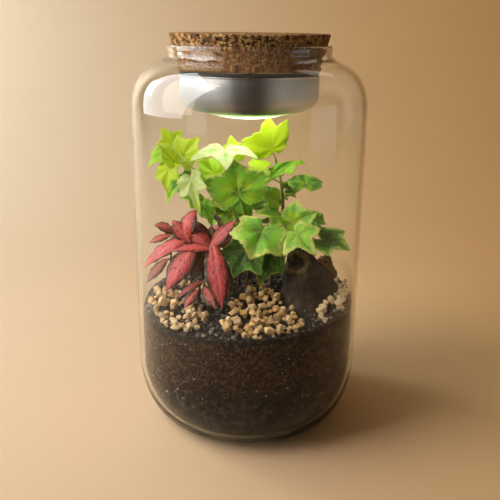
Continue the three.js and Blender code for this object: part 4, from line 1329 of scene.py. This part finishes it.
MOSAIC = {
    "mosaic_plant_front": [
        (-24, -20),
        1.3,
        [(-24, -21, 122), (-26, -26, 143)],
        ((-22, -15, 157), (-33, -5, 171), (0.3, 0.6, 0.7), 0.55, 0.2, 0.2, 0.9),
        ((-25, -30, 149), (-8, -28, 168), (-0.5, -0.6, 0.6), 0.5, 0.12, 0.8, 0.35),
        ((-28, -32, 145), (-55, -47, 149), (0, -0.4, 0.9), 0.32, 0.1, 1.0, 0.3),
        ((-29, -27, 146), (-42, -26, 158), (-0.3, -0.8, 0.5), 0.85, 0.1, 0.9, 0.5),
        ((-25, -34, 145), (-18, -54, 108), (0, -0.9, 0.45), 0.39, 0.12, 0.9, 0.45),
        ((-17, -22, 126), (-14, -30, 107), (0.3, -0.9, 0.2), 0.4, 0.1, 0.4, 0.8),
        ((-21, -16, 145), (-7, -14, 152), (0.2, -0.8, 0.5), 0.6, 0.1, 0.6, 0.5),
        ((-31, -20, 147), (-42, -10, 163), (0, -0.9, 0.4), 0.5, 0.1, 0.6, 0.6),
        ((-27, -14, 144), (-29, -2, 156), (0, -0.6, 0.8), 0.5, 0.1, 0.4, 0.8),
        ((-34, -22, 140), (-43, -26, 121), (0.4, 0.85, 0.3), 0.6, 0.1, 0.1, 0.6),
    ],
    "mosaic_plant_left": [
        (-44, -12),
        1.3,
        [(-45, -13, 125), (-45, -17, 144)],
        ((-45, -20, 150), (-57, -19, 165), (-0.3, -0.8, 0.5), 0.65, 0.12, 0.9, 0.5),
        ((-43, -20, 152), (-38, -14, 173), (-0.6, -0.6, 0.4), 0.75, 0.35, 0.9, 0.55),
        ((-49, -19, 147), (-79, -24, 128), (-0.2, -0.6, 0.8), 0.33, 0.15, 0.95, 0.2),
        ((-43, -25, 142), (-60, -41, 116), (-0.3, -0.85, 0.4), 0.5, 0.1, 0.85, 0.4),
        ((-46, -9, 145), (-60, -7, 150), (0, -0.5, 0.85), 0.6, 0.1, 0.6, 0.7),
    ],
    "mosaic_plant_far_left": [
        (-62, 6),
        1.2,
        [(-62, 5, 122), (-61, 1, 143)],
        ((-59, -4, 152), (-72, -13, 159), (0.1, -0.6, 0.8), 0.6, 0.12, 1.0, 0.5),
        ((-64, 0, 146), (-78, -6, 142), (0, -0.5, 0.85), 0.45, 0.1, 0.8, 0.6),
        ((-66, -4, 126), (-79, -14, 112), (-0.3, -0.6, 0.7), 0.45, 0.1, 0.5, 0.7),
        ((-64, 6, 144), (-76, 20, 136), (-0.4, 0.3, 0.85), 0.5, 0.15, 0.8, 0.4),
        ((-58, 8, 146), (-54, 28, 150), (0, 0.4, 0.9), 0.5, 0.15, 0.9, 0.4),
    ],
    "mosaic_plant_low": [
        (-32, -32),
        1.1,
        [(-33, -33, 118)],
        ((-31, -38, 116), (-23, -52, 107), (0, -0.6, 0.8), 0.65, 0.12, 0.6, 0.8),
        ((-36, -33, 119), (-51, -39, 110), (-0.2, -0.5, 0.85), 0.42, 0.15, 0.7, 0.6),
        ((-38, -39, 114), (-46, -51, 106), (-0.1, -0.6, 0.8), 0.5, 0.15, 0.6, 0.7),
    ],
    "mosaic_plant_back": [
        (-38, 26),
        1.2,
        [(-38, 26, 118), (-38, 27, 134)],
        ((-40, 30, 138), (-58, 44, 132), (-0.3, 0.5, 0.8), 0.5, 0.18, 0.9, 0.4),
        ((-36, 31, 138), (-28, 54, 124), (0, 0.7, 0.7), 0.5, 0.15, 0.9, 0.4),
        ((-42, 25, 139), (-64, 30, 142), (-0.2, 0.2, 0.95), 0.45, 0.15, 0.9, 0.3),
        ((-34, 26, 140), (-16, 22, 150), (-0.2, -0.2, 0.95), 0.45, 0.12, 0.8, 0.4),
        ((-38, 33, 130), (-46, 52, 112), (-0.2, 0.9, 0.4), 0.5, 0.1, 0.7, 0.5),
    ],
}

# Outlines of ivy leaves: angle from the main lobe, and distance from the base of the blade. Every
# second point is the tip of a lobe, where a vein ends.
IVY_FORMS = {
    "five": [(0, 1), (30, 0.68), (57, 0.9), (86, 0.62), (118, 0.68), (150, 0.4)],
    "three": [(0, 1), (36, 0.6), (70, 1.02), (104, 0.55), (130, 0.56), (155, 0.36)],
    "slim": [(0, 1), (24, 0.62), (44, 0.62), (75, 0.42), (110, 0.42), (150, 0.28)],
    "arrow": [(0, 1), (20, 0.44), (46, 0.6), (80, 0.36), (120, 0.34), (150, 0.24)],
    "fan": [(0, 0.8), (30, 0.74), (62, 1.1), (95, 0.86), (125, 0.5), (150, 0.3)],
    "crown": [(0, 1), (30, 0.7), (68, 0.98), (92, 0.74), (120, 0.52), (150, 0.3)],
    "crown_right": [(0, 1), (-15, 0.72), (-31, 1.1), (-54, 0.62), (-76, 0.44), (-130, 0.24)],
}
IVY_NOTCH = (180, 0.07)
IVY_RINGS = 12
RIM_STEPS = 7
MOSAIC_ROWS, MOSAIC_COLUMNS = 30, 14
ROOT_DEPTH = 13
STALKS = {"ivy": 0.55, "mosaic": 0.6}
MOSAIC_STEM, MOSAIC_BARK = shade("9a7a5c"), shade("6d4a38")


def blade_frame(base, tip, face):
    """Directions along a blade, across it and out of its upper face, with its length."""
    base, tip, face = Vector(base), Vector(tip), Vector(face)
    along = (tip - base).normalized()
    out = (face - along * face.dot(along)).normalized()
    return base, along, out.cross(along), out, (tip - base).length


def ivy_rim(form, chance):
    """Angles and distances round the whole leaf, and the angles of its veins."""
    left = IVY_FORMS[form]
    right = IVY_FORMS.get(form + "_right") or [(-turn, reach) for turn, reach in left]
    corners = [
        (turn + chance.uniform(-3, 3), reach * chance.uniform(0.93, 1.06))
        for turn, reach in [*reversed(right[1:]), *left, IVY_NOTCH]
    ]
    veins = [math.radians(turn) for turn, _ in corners[1::2]]
    rim = []
    round_corners = [(corners[-1][0] - 360, corners[-1][1]), *corners]
    for (start, near), (end, far) in zip(round_corners, round_corners[1:]):
        for i in range(RIM_STEPS):
            share = i / RIM_STEPS
            rise = (1 - share) ** 1.6 if near > far else 1 - share**1.6
            tooth = chance.uniform(-0.04, 0.04) if i else 0
            turn = math.radians(start + (end - start) * share)
            rim.append((turn, far + (near - far) * rise + tooth))
    return rim, veins


def ivy_blade(shape, leaf, chance):
    """A lobed leaf, in rings from its base to its toothed rim, with sunken veins."""
    base, tip, face, breadth, age, pale, *rest = leaf
    form, droop, fold = rest or ("five", chance.uniform(-0.16, 0.02), chance.uniform(-0.05, 0.15))
    origin, along, across, out, length = blade_frame(base, tip, face)
    rim, veins = ivy_rim(form, chance)
    phase, twist = ROUND * chance.random(), chance.uniform(-0.12, 0.12)
    points, blade = [], []

    def place(turn, reach, share):
        x, y = reach * math.cos(turn), reach * math.sin(turn) * breadth
        vein = min(abs(turn - v) for v in veins)
        pucker = 0.085 * reach * math.sin(min(1, vein / 0.5) * math.pi / 2) ** 2
        wave = 0.03 * math.sin(6 * turn + phase) * share**3
        sides = (0.16 + fold) * abs(y)
        lift = 0.22 * x * (1 - x) + sides - (0.3 + 0.9 * fold) * y * y + droop * x * abs(x)
        lift += pucker + wave + twist * x * y
        points.append(origin + length * (along * x + across * y + out * lift))
        blade.append((length * reach * min(vein, 1), length * reach, share))

    place(0, 0, 0)
    for ring in range(1, IVY_RINGS + 1):
        share = (ring / IVY_RINGS) ** 0.85
        for turn, reach in rim:
            place(turn, reach * share, share)
    count = len(rim)
    faces = [(0, 1 + i, 1 + (i + 1) % count) for i in range(count)]
    faces += net(IVY_RINGS - 1, count, start=1)
    shape.add(points, faces, 0, blade, (age, pale, chance.random()))
    return origin


def mosaic_blade(shape, leaf, chance):
    """An arched narrow leaf, in rows from its base to its tip, with a grooved midrib."""
    base, tip, face, breadth, arch, red, dark = leaf
    base = Vector(base).lerp(Vector(tip), -0.2)
    origin, along, across, out, length = blade_frame(base, tip, face)
    points, blade = [], []
    wave = ROUND * chance.random()
    for row in range(MOSAIC_ROWS + 1):
        t = row / MOSAIC_ROWS
        inside = 0 < row < MOSAIC_ROWS
        swell = math.sin(math.pi * t**0.95) ** (0.75 + 0.3 * t) if inside else 0.01
        half = 0.45 * breadth * swell
        for column in range(MOSAIC_COLUMNS + 1):
            v = 2 * column / MOSAIC_COLUMNS - 1
            y = half * v
            ridge = abs(math.sin(math.pi * (7 * t - 1.1 * abs(v))))
            quilt = 0.012 * ridge * (1 - abs(v) ** 3) * min(1, 8 * half)
            groove = -0.02 * math.exp(-((v / 0.12) ** 2)) * min(1, 8 * half)
            ruffle = 0.018 * math.sin(26 * t + wave) * abs(v) ** 4 * min(1, 6 * half)
            lift = 4 * arch * t * (1 - t) - 0.5 * abs(y) * breadth + quilt + groove + ruffle
            points.append(origin + length * (along * t + across * y + out * lift))
            blade.append((length * t, length * y, abs(v)))
    faces = net(MOSAIC_ROWS, MOSAIC_COLUMNS + 1, closed=False)
    shape.add(points, faces, 0, blade, (red, dark, chance.random()))
    return origin


def grow(plant, blade, chance, thin, woody):
    """One leafy stem: a stem that tapers from its root, and each leaf on its own stalk."""
    (x, y), radius, path, *blades = plant
    leaves, stems = Shape(), Shape()
    bottom = ground_height(x, y) - ROOT_DEPTH
    route = [(x, y, bottom), (x, y, bottom + 2 * ROOT_DEPTH), *path]
    line = smooth_line([Vector(point) for point in route], 10)
    radii = [radius * (1 - 0.45 * i / len(line)) for i in range(len(line))]
    radii = [thick * (1.18 if i % 9 == 4 else 1) for i, thick in enumerate(radii)]
    stems.add(*rod(line, radii, 10), look=(woody, chance.random(), 0))
    free = [point for point in line if point.z > ground_height(x, y) + 2]
    for leaf in blades:
        seat = blade(leaves, leaf, chance)
        aim = seat - Vector((0, 0, 6))
        start = min(free, key=lambda point: (point - aim).length)
        if len(free) > 1:
            free.remove(start)
        face = Vector(leaf[2])
        middle = start.lerp(seat, 0.6) - face * 0.15 * (start - seat).length
        stalk = smooth_line([start, middle, seat], 7)
        width = [thin * (1.15 - 0.4 * i / len(stalk)) for i in range(len(stalk))]
        stems.add(*rod(stalk, width, 8), look=(woody * 0.12, chance.random(), 0))
    return leaves, stems


def leaf_surface(f, colour, roughness, height, light, through):
    """A leaf with a fine relief that lets some light through."""
    relief = f.bump(height, 0.4)
    solid = f.shader(colour, roughness, relief, Specular_IOR_Level=0.4)
    thin = f.node("ShaderNodeBsdfTranslucent", {}, {"Color": light})
    return f.done(f.mixed(through, solid, thin))


def ivy_finish(settings):
    """Ivy, from lime when young to deep green, with pale veins, margins and patches, and painted
    light and shade on its facets.
    """
    f = Finish("ivy_leaf")
    off, ahead, edge = f.values("blade")
    age, pale, chance = f.values("look")
    vein = (off / (0.45 - ahead * 0.011)).fall(0.3, 1.0)
    side = ((ahead - off * 0.8) * 1.9).sine().rise(0.86, 1.0) * off.rise(0.2, 0.7)
    mesh = f.cells(1.4, "DISTANCE_TO_EDGE").fall(0.0, 0.1)
    streak = f.noise(1, 5, 0.62, at=f.point(off * 0.5, ahead * 0.17, chance * 60))
    facet = f.noise(7, 2, 0.5, at=f.point(off, ahead * 0.5, chance * 90))
    patch = f.noise(4, 5, 0.65)
    grain = f.noise(0.9, 4, 0.6)
    mottle = (streak - 0.5) * 1.6 + (patch - 0.5) * 0.8
    grown = 0.3 + age.rise(0.1, 0.4) * 0.7
    tone = age + (mottle + (0.5 - edge) * 0.5) * age.rise(0.06, 0.35)
    # Painted light and shade: lighter and darker facets stand in for the light a puckered leaf
    # catches or loses.
    bright = facet.rise(0.5, 0.62) * age.rise(0.2, 0.45) * age.fall(0.75, 0.95)
    deep = facet.fall(0.36, 0.48) * age.rise(0.2, 0.5)
    sage = (edge * 0.4 + mottle + (pale - 0.75) * 0.7).rise(0.1, 0.35) * pale.rise(0.05, 0.6)
    margin = (edge + mottle * 0.6 + (pale - 1) * 0.3).rise(0.74, 0.84) * pale.rise(0.02, 0.3)
    white = (pale - 1).rise(0.0, 0.4) * (1 - (streak * 0.6 + patch * 0.4).rise(0.47, 0.57) * 0.75)
    white = white * (1 - ahead.rise(12, 20) * age.fall(0.05, 0.3))
    colour = f.layers(
        settings.lime,
        ((age + mottle * 0.25).rise(0.08, 0.42), settings.green),
        (tone.rise(0.35, 0.95), settings.shadow),
        # Painted light and shade on the facets.
        (bright * 0.6, settings.lime),
        (deep * 0.55, settings.shadow),
        (sage * grown * 0.7, settings.sage),
        (margin * 0.85, settings.cream),
        (white * 0.85, settings.white),
        (edge.rise(0.93, 1.0) * 0.45, settings.cream),
        ((mesh * 0.1).most(side * 0.22).most(vein * 0.4) * grown, settings.cream),
        (grain.rise(0.5, 0.8) * 0.15, settings.shadow),
    )
    height = (1 - vein) * 0.6 + (1 - side) * 0.3 + (1 - mesh) * 0.2 + grain * 0.2
    through = 0.4 - age.rise(0, 0.6) * 0.2
    return leaf_surface(f, colour, 0.28 + grain * 0.16, height, settings.lime, through)


def mosaic_finish(settings):
    """Red leaves with pale veins, a painted sheen in the middle, dark dashes between the veins and
    a dark green margin.
    """
    f = Finish("mosaic_leaf")
    t, y, out = f.values("blade")
    red, dark, chance = f.values("look")
    across, along = t * 0.5 - abs(y) * 0.86, (t * 0.86 + abs(y) * 0.5) * 0.4
    dash = f.cells(1.8, at=f.point(across, along * 1.1, chance * 40)).fall(0.24, 0.4)
    patch = f.noise(2.6, 4, 0.6, at=f.point(t, y, chance * 40))
    rib = (abs(y) / (0.5 - t * 0.008)).fall(0.3, 1.0)
    side = abs((across * 1.5).sine()).rise(0.02, 0.35)
    spots = dash * f.noise(3.4, 3).rise(0.36, 0.5) * out.rise(0.05, 0.2)
    speck = f.noise(1.3, 2, 0.5).rise(0.54, 0.6) * out.fall(0.8, 0.95) * dark.rise(0.3, 0.6)
    margin = (out + (patch - 0.5) * 0.45 + (dark - 0.5) * 0.6).rise(0.6, 0.76) * (1 - speck * 0.7)
    rim = f.blend(patch.rise(0.5, 0.7) * 0.5, settings.edge, settings.fern)
    heart = f.layers(
        settings.coral,
        (t.rise(5, 22), settings.pink),
        ((patch * 0.6 + out * 0.4).rise(0.3, 0.75) * 0.65, settings.crimson),
    )
    colour = f.layers(
        settings.olive,
        (red, heart),
        # Painted sheen: the middle of a red leaf is lightened as a highlight.
        ((1 - out).rise(0.2, 1) * red * 0.25, settings.pale_vein_and_sheen),
        ((1 - side) * (1 - out) * red * 0.35, settings.pale_vein_and_sheen),
        (spots * 0.85, settings.edge),
        (margin * 0.93, rim),
        (rib * 0.35, settings.pale_vein_and_sheen),
    )
    height = (1 - dash) * 0.4 + side * 0.6 + (1 - rib) * 0.3
    return leaf_surface(f, colour, 0.38 + patch * 0.12, height, settings.pink, 0.08)


def stem_finish(name, young, old):
    """Stems that are woody low down and on old stems, and darkened near the ground as painted
    shade.
    """
    f = Finish(name)
    woody, _, _ = f.values("look")
    streak = f.noise(1.4, 4, 0.65, stretch=(1, 1, 0.25))
    height = f.parts(f.place())[2]
    colour = f.layers(
        young,
        (woody * height.fall(178, 200), old),
        # Painted shade: the stems darken near the ground, under the leaves.
        (height.fall(110, 150), darker(old, 0.3)),
        (streak.rise(0.4, 0.75) * 0.35, darker(old, 0.45)),
    )
    return f.matt(colour, 0.55, 0.35, f.bump(streak, 0.25))


def plant_pieces(kind, plants, blade, finishes, thickness):
    """Every stem of one kind of plant: its leaves and its stems are two pieces for one node."""
    for number, (node, plant) in enumerate(plants.items()):
        woody = 0.9 if node == "ivy_tall" else 0.25
        chance = random.Random(SEEDS[kind] + number)
        leaves, stems = grow(plant, blade, chance, STALKS[kind], woody)
        made = leaves.piece(node + "_leaves", [finishes[0]], [node], kind + "_leaf")
        skin = made.modifiers.new("leaf_thickness", "SOLIDIFY")
        skin.thickness = thickness
        skin.offset = 0
        stems.piece(node + "_stems", [finishes[1]], [], kind + "_leaf")


class TERRARIUM_OT_ivy(bpy.types.Operator):
    """Grows the stems of variegated ivy"""

    bl_idname = "terrarium.ivy"
    bl_label = "Ivy"

    def execute(self, context):
        settings = context.scene.terrarium_plants
        finishes = [ivy_finish(settings), stem_finish("ivy_stem", settings.stem, settings.bark)]
        plant_pieces("ivy", IVY, ivy_blade, finishes, settings.thickness)
        return {"FINISHED"}


class TERRARIUM_OT_mosaic_plant(bpy.types.Operator):
    """Grows the shoots of the red mosaic plant"""

    bl_idname = "terrarium.mosaic_plant"
    bl_label = "Mosaic Plant"

    def execute(self, context):
        settings = context.scene.terrarium_plants
        finishes = [mosaic_finish(settings), stem_finish("mosaic_stem", MOSAIC_STEM, MOSAIC_BARK)]
        plant_pieces("mosaic", MOSAIC, mosaic_blade, finishes, settings.thickness)
        return {"FINISHED"}


# Stage

# The camera's place, how far it looks down and rolls in degrees, and its lens and sensor.
CAMERA_PLACE = (1.8, -533, 308)
CAMERA_DIP = 17.95
CAMERA_ROLL = 0.6
CAMERA_LENS = 50.76
CAMERA_SENSOR = 36
FLOOR_SIDE, FLOOR_FRONT, FLOOR_BEND, BACKDROP_TOP = 1800, -360, 420, 1400
ROOM_COLOUR = (1, 0.72, 0.42, 1)
# Each softbox: place and aim in metres, width and height, colour, the setting of its power and
# its share of that, its spread in degrees, and whether it shows in reflections or in all else.
SOFTBOXES = {
    "softbox_left": (
        (-0.53, -0.17, 0.525), (-0.05, 0.1, 0.05), (0.45, 0.75), (1, 0.89, 0.78),
        "key", 1, 130, False,
    ),
    "softbox_glint": (
        (-0.53, -0.1, 0.525), (0, -0.15, 0.2), (0.7, 0.8), (0.86, 0.93, 1),
        "glint", 1, 180, True,
    ),
    "softbox_back": (
        (-0.85, 0.45, 0.6), (-0.3, 0.84, 0.3), (0.4, 0.4), (0.97, 1, 0.92),
        "backdrop", 1, 180, False,
    ),
    "softbox_right": (
        (0.62, 0.72, 1.25), (0, 0, 0.25), (0.4, 0.4), (1, 0.97, 0.92),
        "fill", 0.35, 180, True,
    ),
    "softbox_low_right": (
        (0.9, -0.3, 0.2), (0, 0, 0.26), (0.5, 0.4), (0.72, 0.87, 1),
        "fill", 0.55, 180, True,
    ),
    "softbox_low_left": (
        (-0.75, -0.7, 0.3), (0, 0, 0.26), (0.35, 0.4), (0.72, 0.87, 1),
        "fill", 0.55, 180, True,
    ),
}


def softbox(name, place, aim, size, colour, power, spread, reflected):
    """A rectangle of light, which shows in reflections alone or in all but reflections."""
    light = bpy.data.lights.new(name, "AREA")
    light.shape = "RECTANGLE"
    light.size, light.size_y = size
    light.energy = power
    light.color = colour
    light.spread = math.radians(spread)
    lamp = bpy.data.objects.new(name, light)
    lamp.location = place
    lamp.rotation_euler = (Vector(aim) - Vector(place)).to_track_quat("-Z", "Y").to_euler()
    lamp.visible_glossy = reflected
    lamp.visible_diffuse = lamp.visible_transmission = not reflected
    bpy.context.scene.collection.objects.link(lamp)


def floor_finish(settings):
    """Plain paper, in one colour on the left that turns to a warmer one on the right, as painted
    warm light.
    """
    f = Finish("floor_paper")
    cloud = f.noise(180, 3)
    grain = f.noise(0.8, 3)
    colour = f.layers(
        settings.floor,
        # Painted warm light: the colour warms towards the right.
        (f.parts(f.place())[0].rise(-450, 450), settings.painted_warm_light_right),
        (cloud.rise(0.3, 0.8) * 0.12, darker(settings.floor, 0.8)),
    )
    return f.matt(colour, 0.8, 0.2, f.bump(grain, 0.03))


def make_floor(settings):
    """The floor, which bends up into the backdrop."""
    bend = FLOOR_BEND
    curve = [(bend + bend * math.sin(t), bend - bend * math.cos(t)) for t in quarter(24)]
    profile = [(FLOOR_FRONT, 0), *curve, (2 * bend, BACKDROP_TOP)]
    points = [(side * FLOOR_SIDE, y, z) for y, z in profile for side in (-1, 1)]
    faces = [(2 * i, 2 * i + 1, 2 * i + 3, 2 * i + 2) for i in range(len(profile) - 1)]
    mesh = bpy.data.meshes.new("floor_sweep")
    mesh.from_pydata([[c * MM for c in point] for point in points], [], faces)
    mesh.shade_smooth()
    mesh.materials.append(floor_finish(settings))
    floor = bpy.data.objects.new("floor_sweep", mesh)
    bpy.context.scene.collection.objects.link(floor)


def make_camera(scene):
    camera = bpy.data.cameras.new("photo_camera")
    camera.lens = CAMERA_LENS
    camera.sensor_width = CAMERA_SENSOR
    camera.clip_start, camera.clip_end = 0.01, 20
    eye = bpy.data.objects.new("photo_camera", camera)
    tilt = Matrix.Rotation(math.radians(90 - CAMERA_DIP), 4, "X")
    roll = Matrix.Rotation(math.radians(CAMERA_ROLL), 4, "Z")
    eye.matrix_world = Matrix.Translation([c * MM for c in CAMERA_PLACE]) @ tilt @ roll
    scene.collection.objects.link(eye)
    scene.camera = eye


class TERRARIUM_OT_stage(bpy.types.Operator):
    """Sets the plain pale floor, the soft lights and the camera"""

    bl_idname = "terrarium.stage"
    bl_label = "Stage"

    def execute(self, context):
        scene = context.scene
        settings = scene.terrarium_stage
        make_floor(settings)
        for name, (place, aim, size, colour, source, share, spread, reflected) in SOFTBOXES.items():
            power = getattr(settings, source) * share
            softbox(name, place, aim, size, colour, power, spread, reflected)
        world = bpy.data.worlds.new("room_light")
        world.use_nodes = True
        sky = world.node_tree.nodes["Background"]
        sky.inputs["Color"].default_value = ROOM_COLOUR
        sky.inputs["Strength"].default_value = settings.sky
        scene.world = world
        scene.view_settings.view_transform = "Standard"
        scene.view_settings.exposure = settings.exposure
        make_camera(scene)
        return {"FINISHED"}


class TERRARIUM_PT_panel(bpy.types.Panel):
    """Lists the pieces of the terrarium with their settings"""

    bl_idname = "TERRARIUM_PT_panel"
    bl_label = "Terrarium"
    bl_space_type = "VIEW_3D"
    bl_region_type = "UI"
    bl_category = "Terrarium"

    def draw(self, context):
        for operator in OPERATORS:
            self.layout.operator(operator.bl_idname)
        for key, group in SETTINGS.items():
            box = self.layout.box()
            settings = getattr(context.scene, key)
            for name in group.__annotations__:
                box.prop(settings, name)


SETTINGS = {
    "terrarium_stage": StageSettings,
    "terrarium_jar": JarSettings,
    "terrarium_stopper": StopperSettings,
    "terrarium_lamp": LampSettings,
    "terrarium_ground": GroundSettings,
    "terrarium_plants": PlantSettings,
}
OPERATORS = (
    TERRARIUM_OT_stage,
    TERRARIUM_OT_jar,
    TERRARIUM_OT_stopper,
    TERRARIUM_OT_lamp,
    TERRARIUM_OT_ground,
    TERRARIUM_OT_gravel,
    TERRARIUM_OT_rock,
    TERRARIUM_OT_ivy,
    TERRARIUM_OT_mosaic_plant,
)


def register():
    for made in (*SETTINGS.values(), *OPERATORS, TERRARIUM_PT_panel):
        bpy.utils.register_class(made)
    for key, group in SETTINGS.items():
        setattr(bpy.types.Scene, key, bpy.props.PointerProperty(type=group))


def unregister():
    for key in SETTINGS:
        delattr(bpy.types.Scene, key)
    for made in reversed((*SETTINGS.values(), *OPERATORS, TERRARIUM_PT_panel)):
        bpy.utils.unregister_class(made)


def main():
    register()
    for operator in OPERATORS:
        family, name = operator.bl_idname.split(".")
        getattr(getattr(bpy.ops, family), name)()


if __name__ == "__main__":
    main()
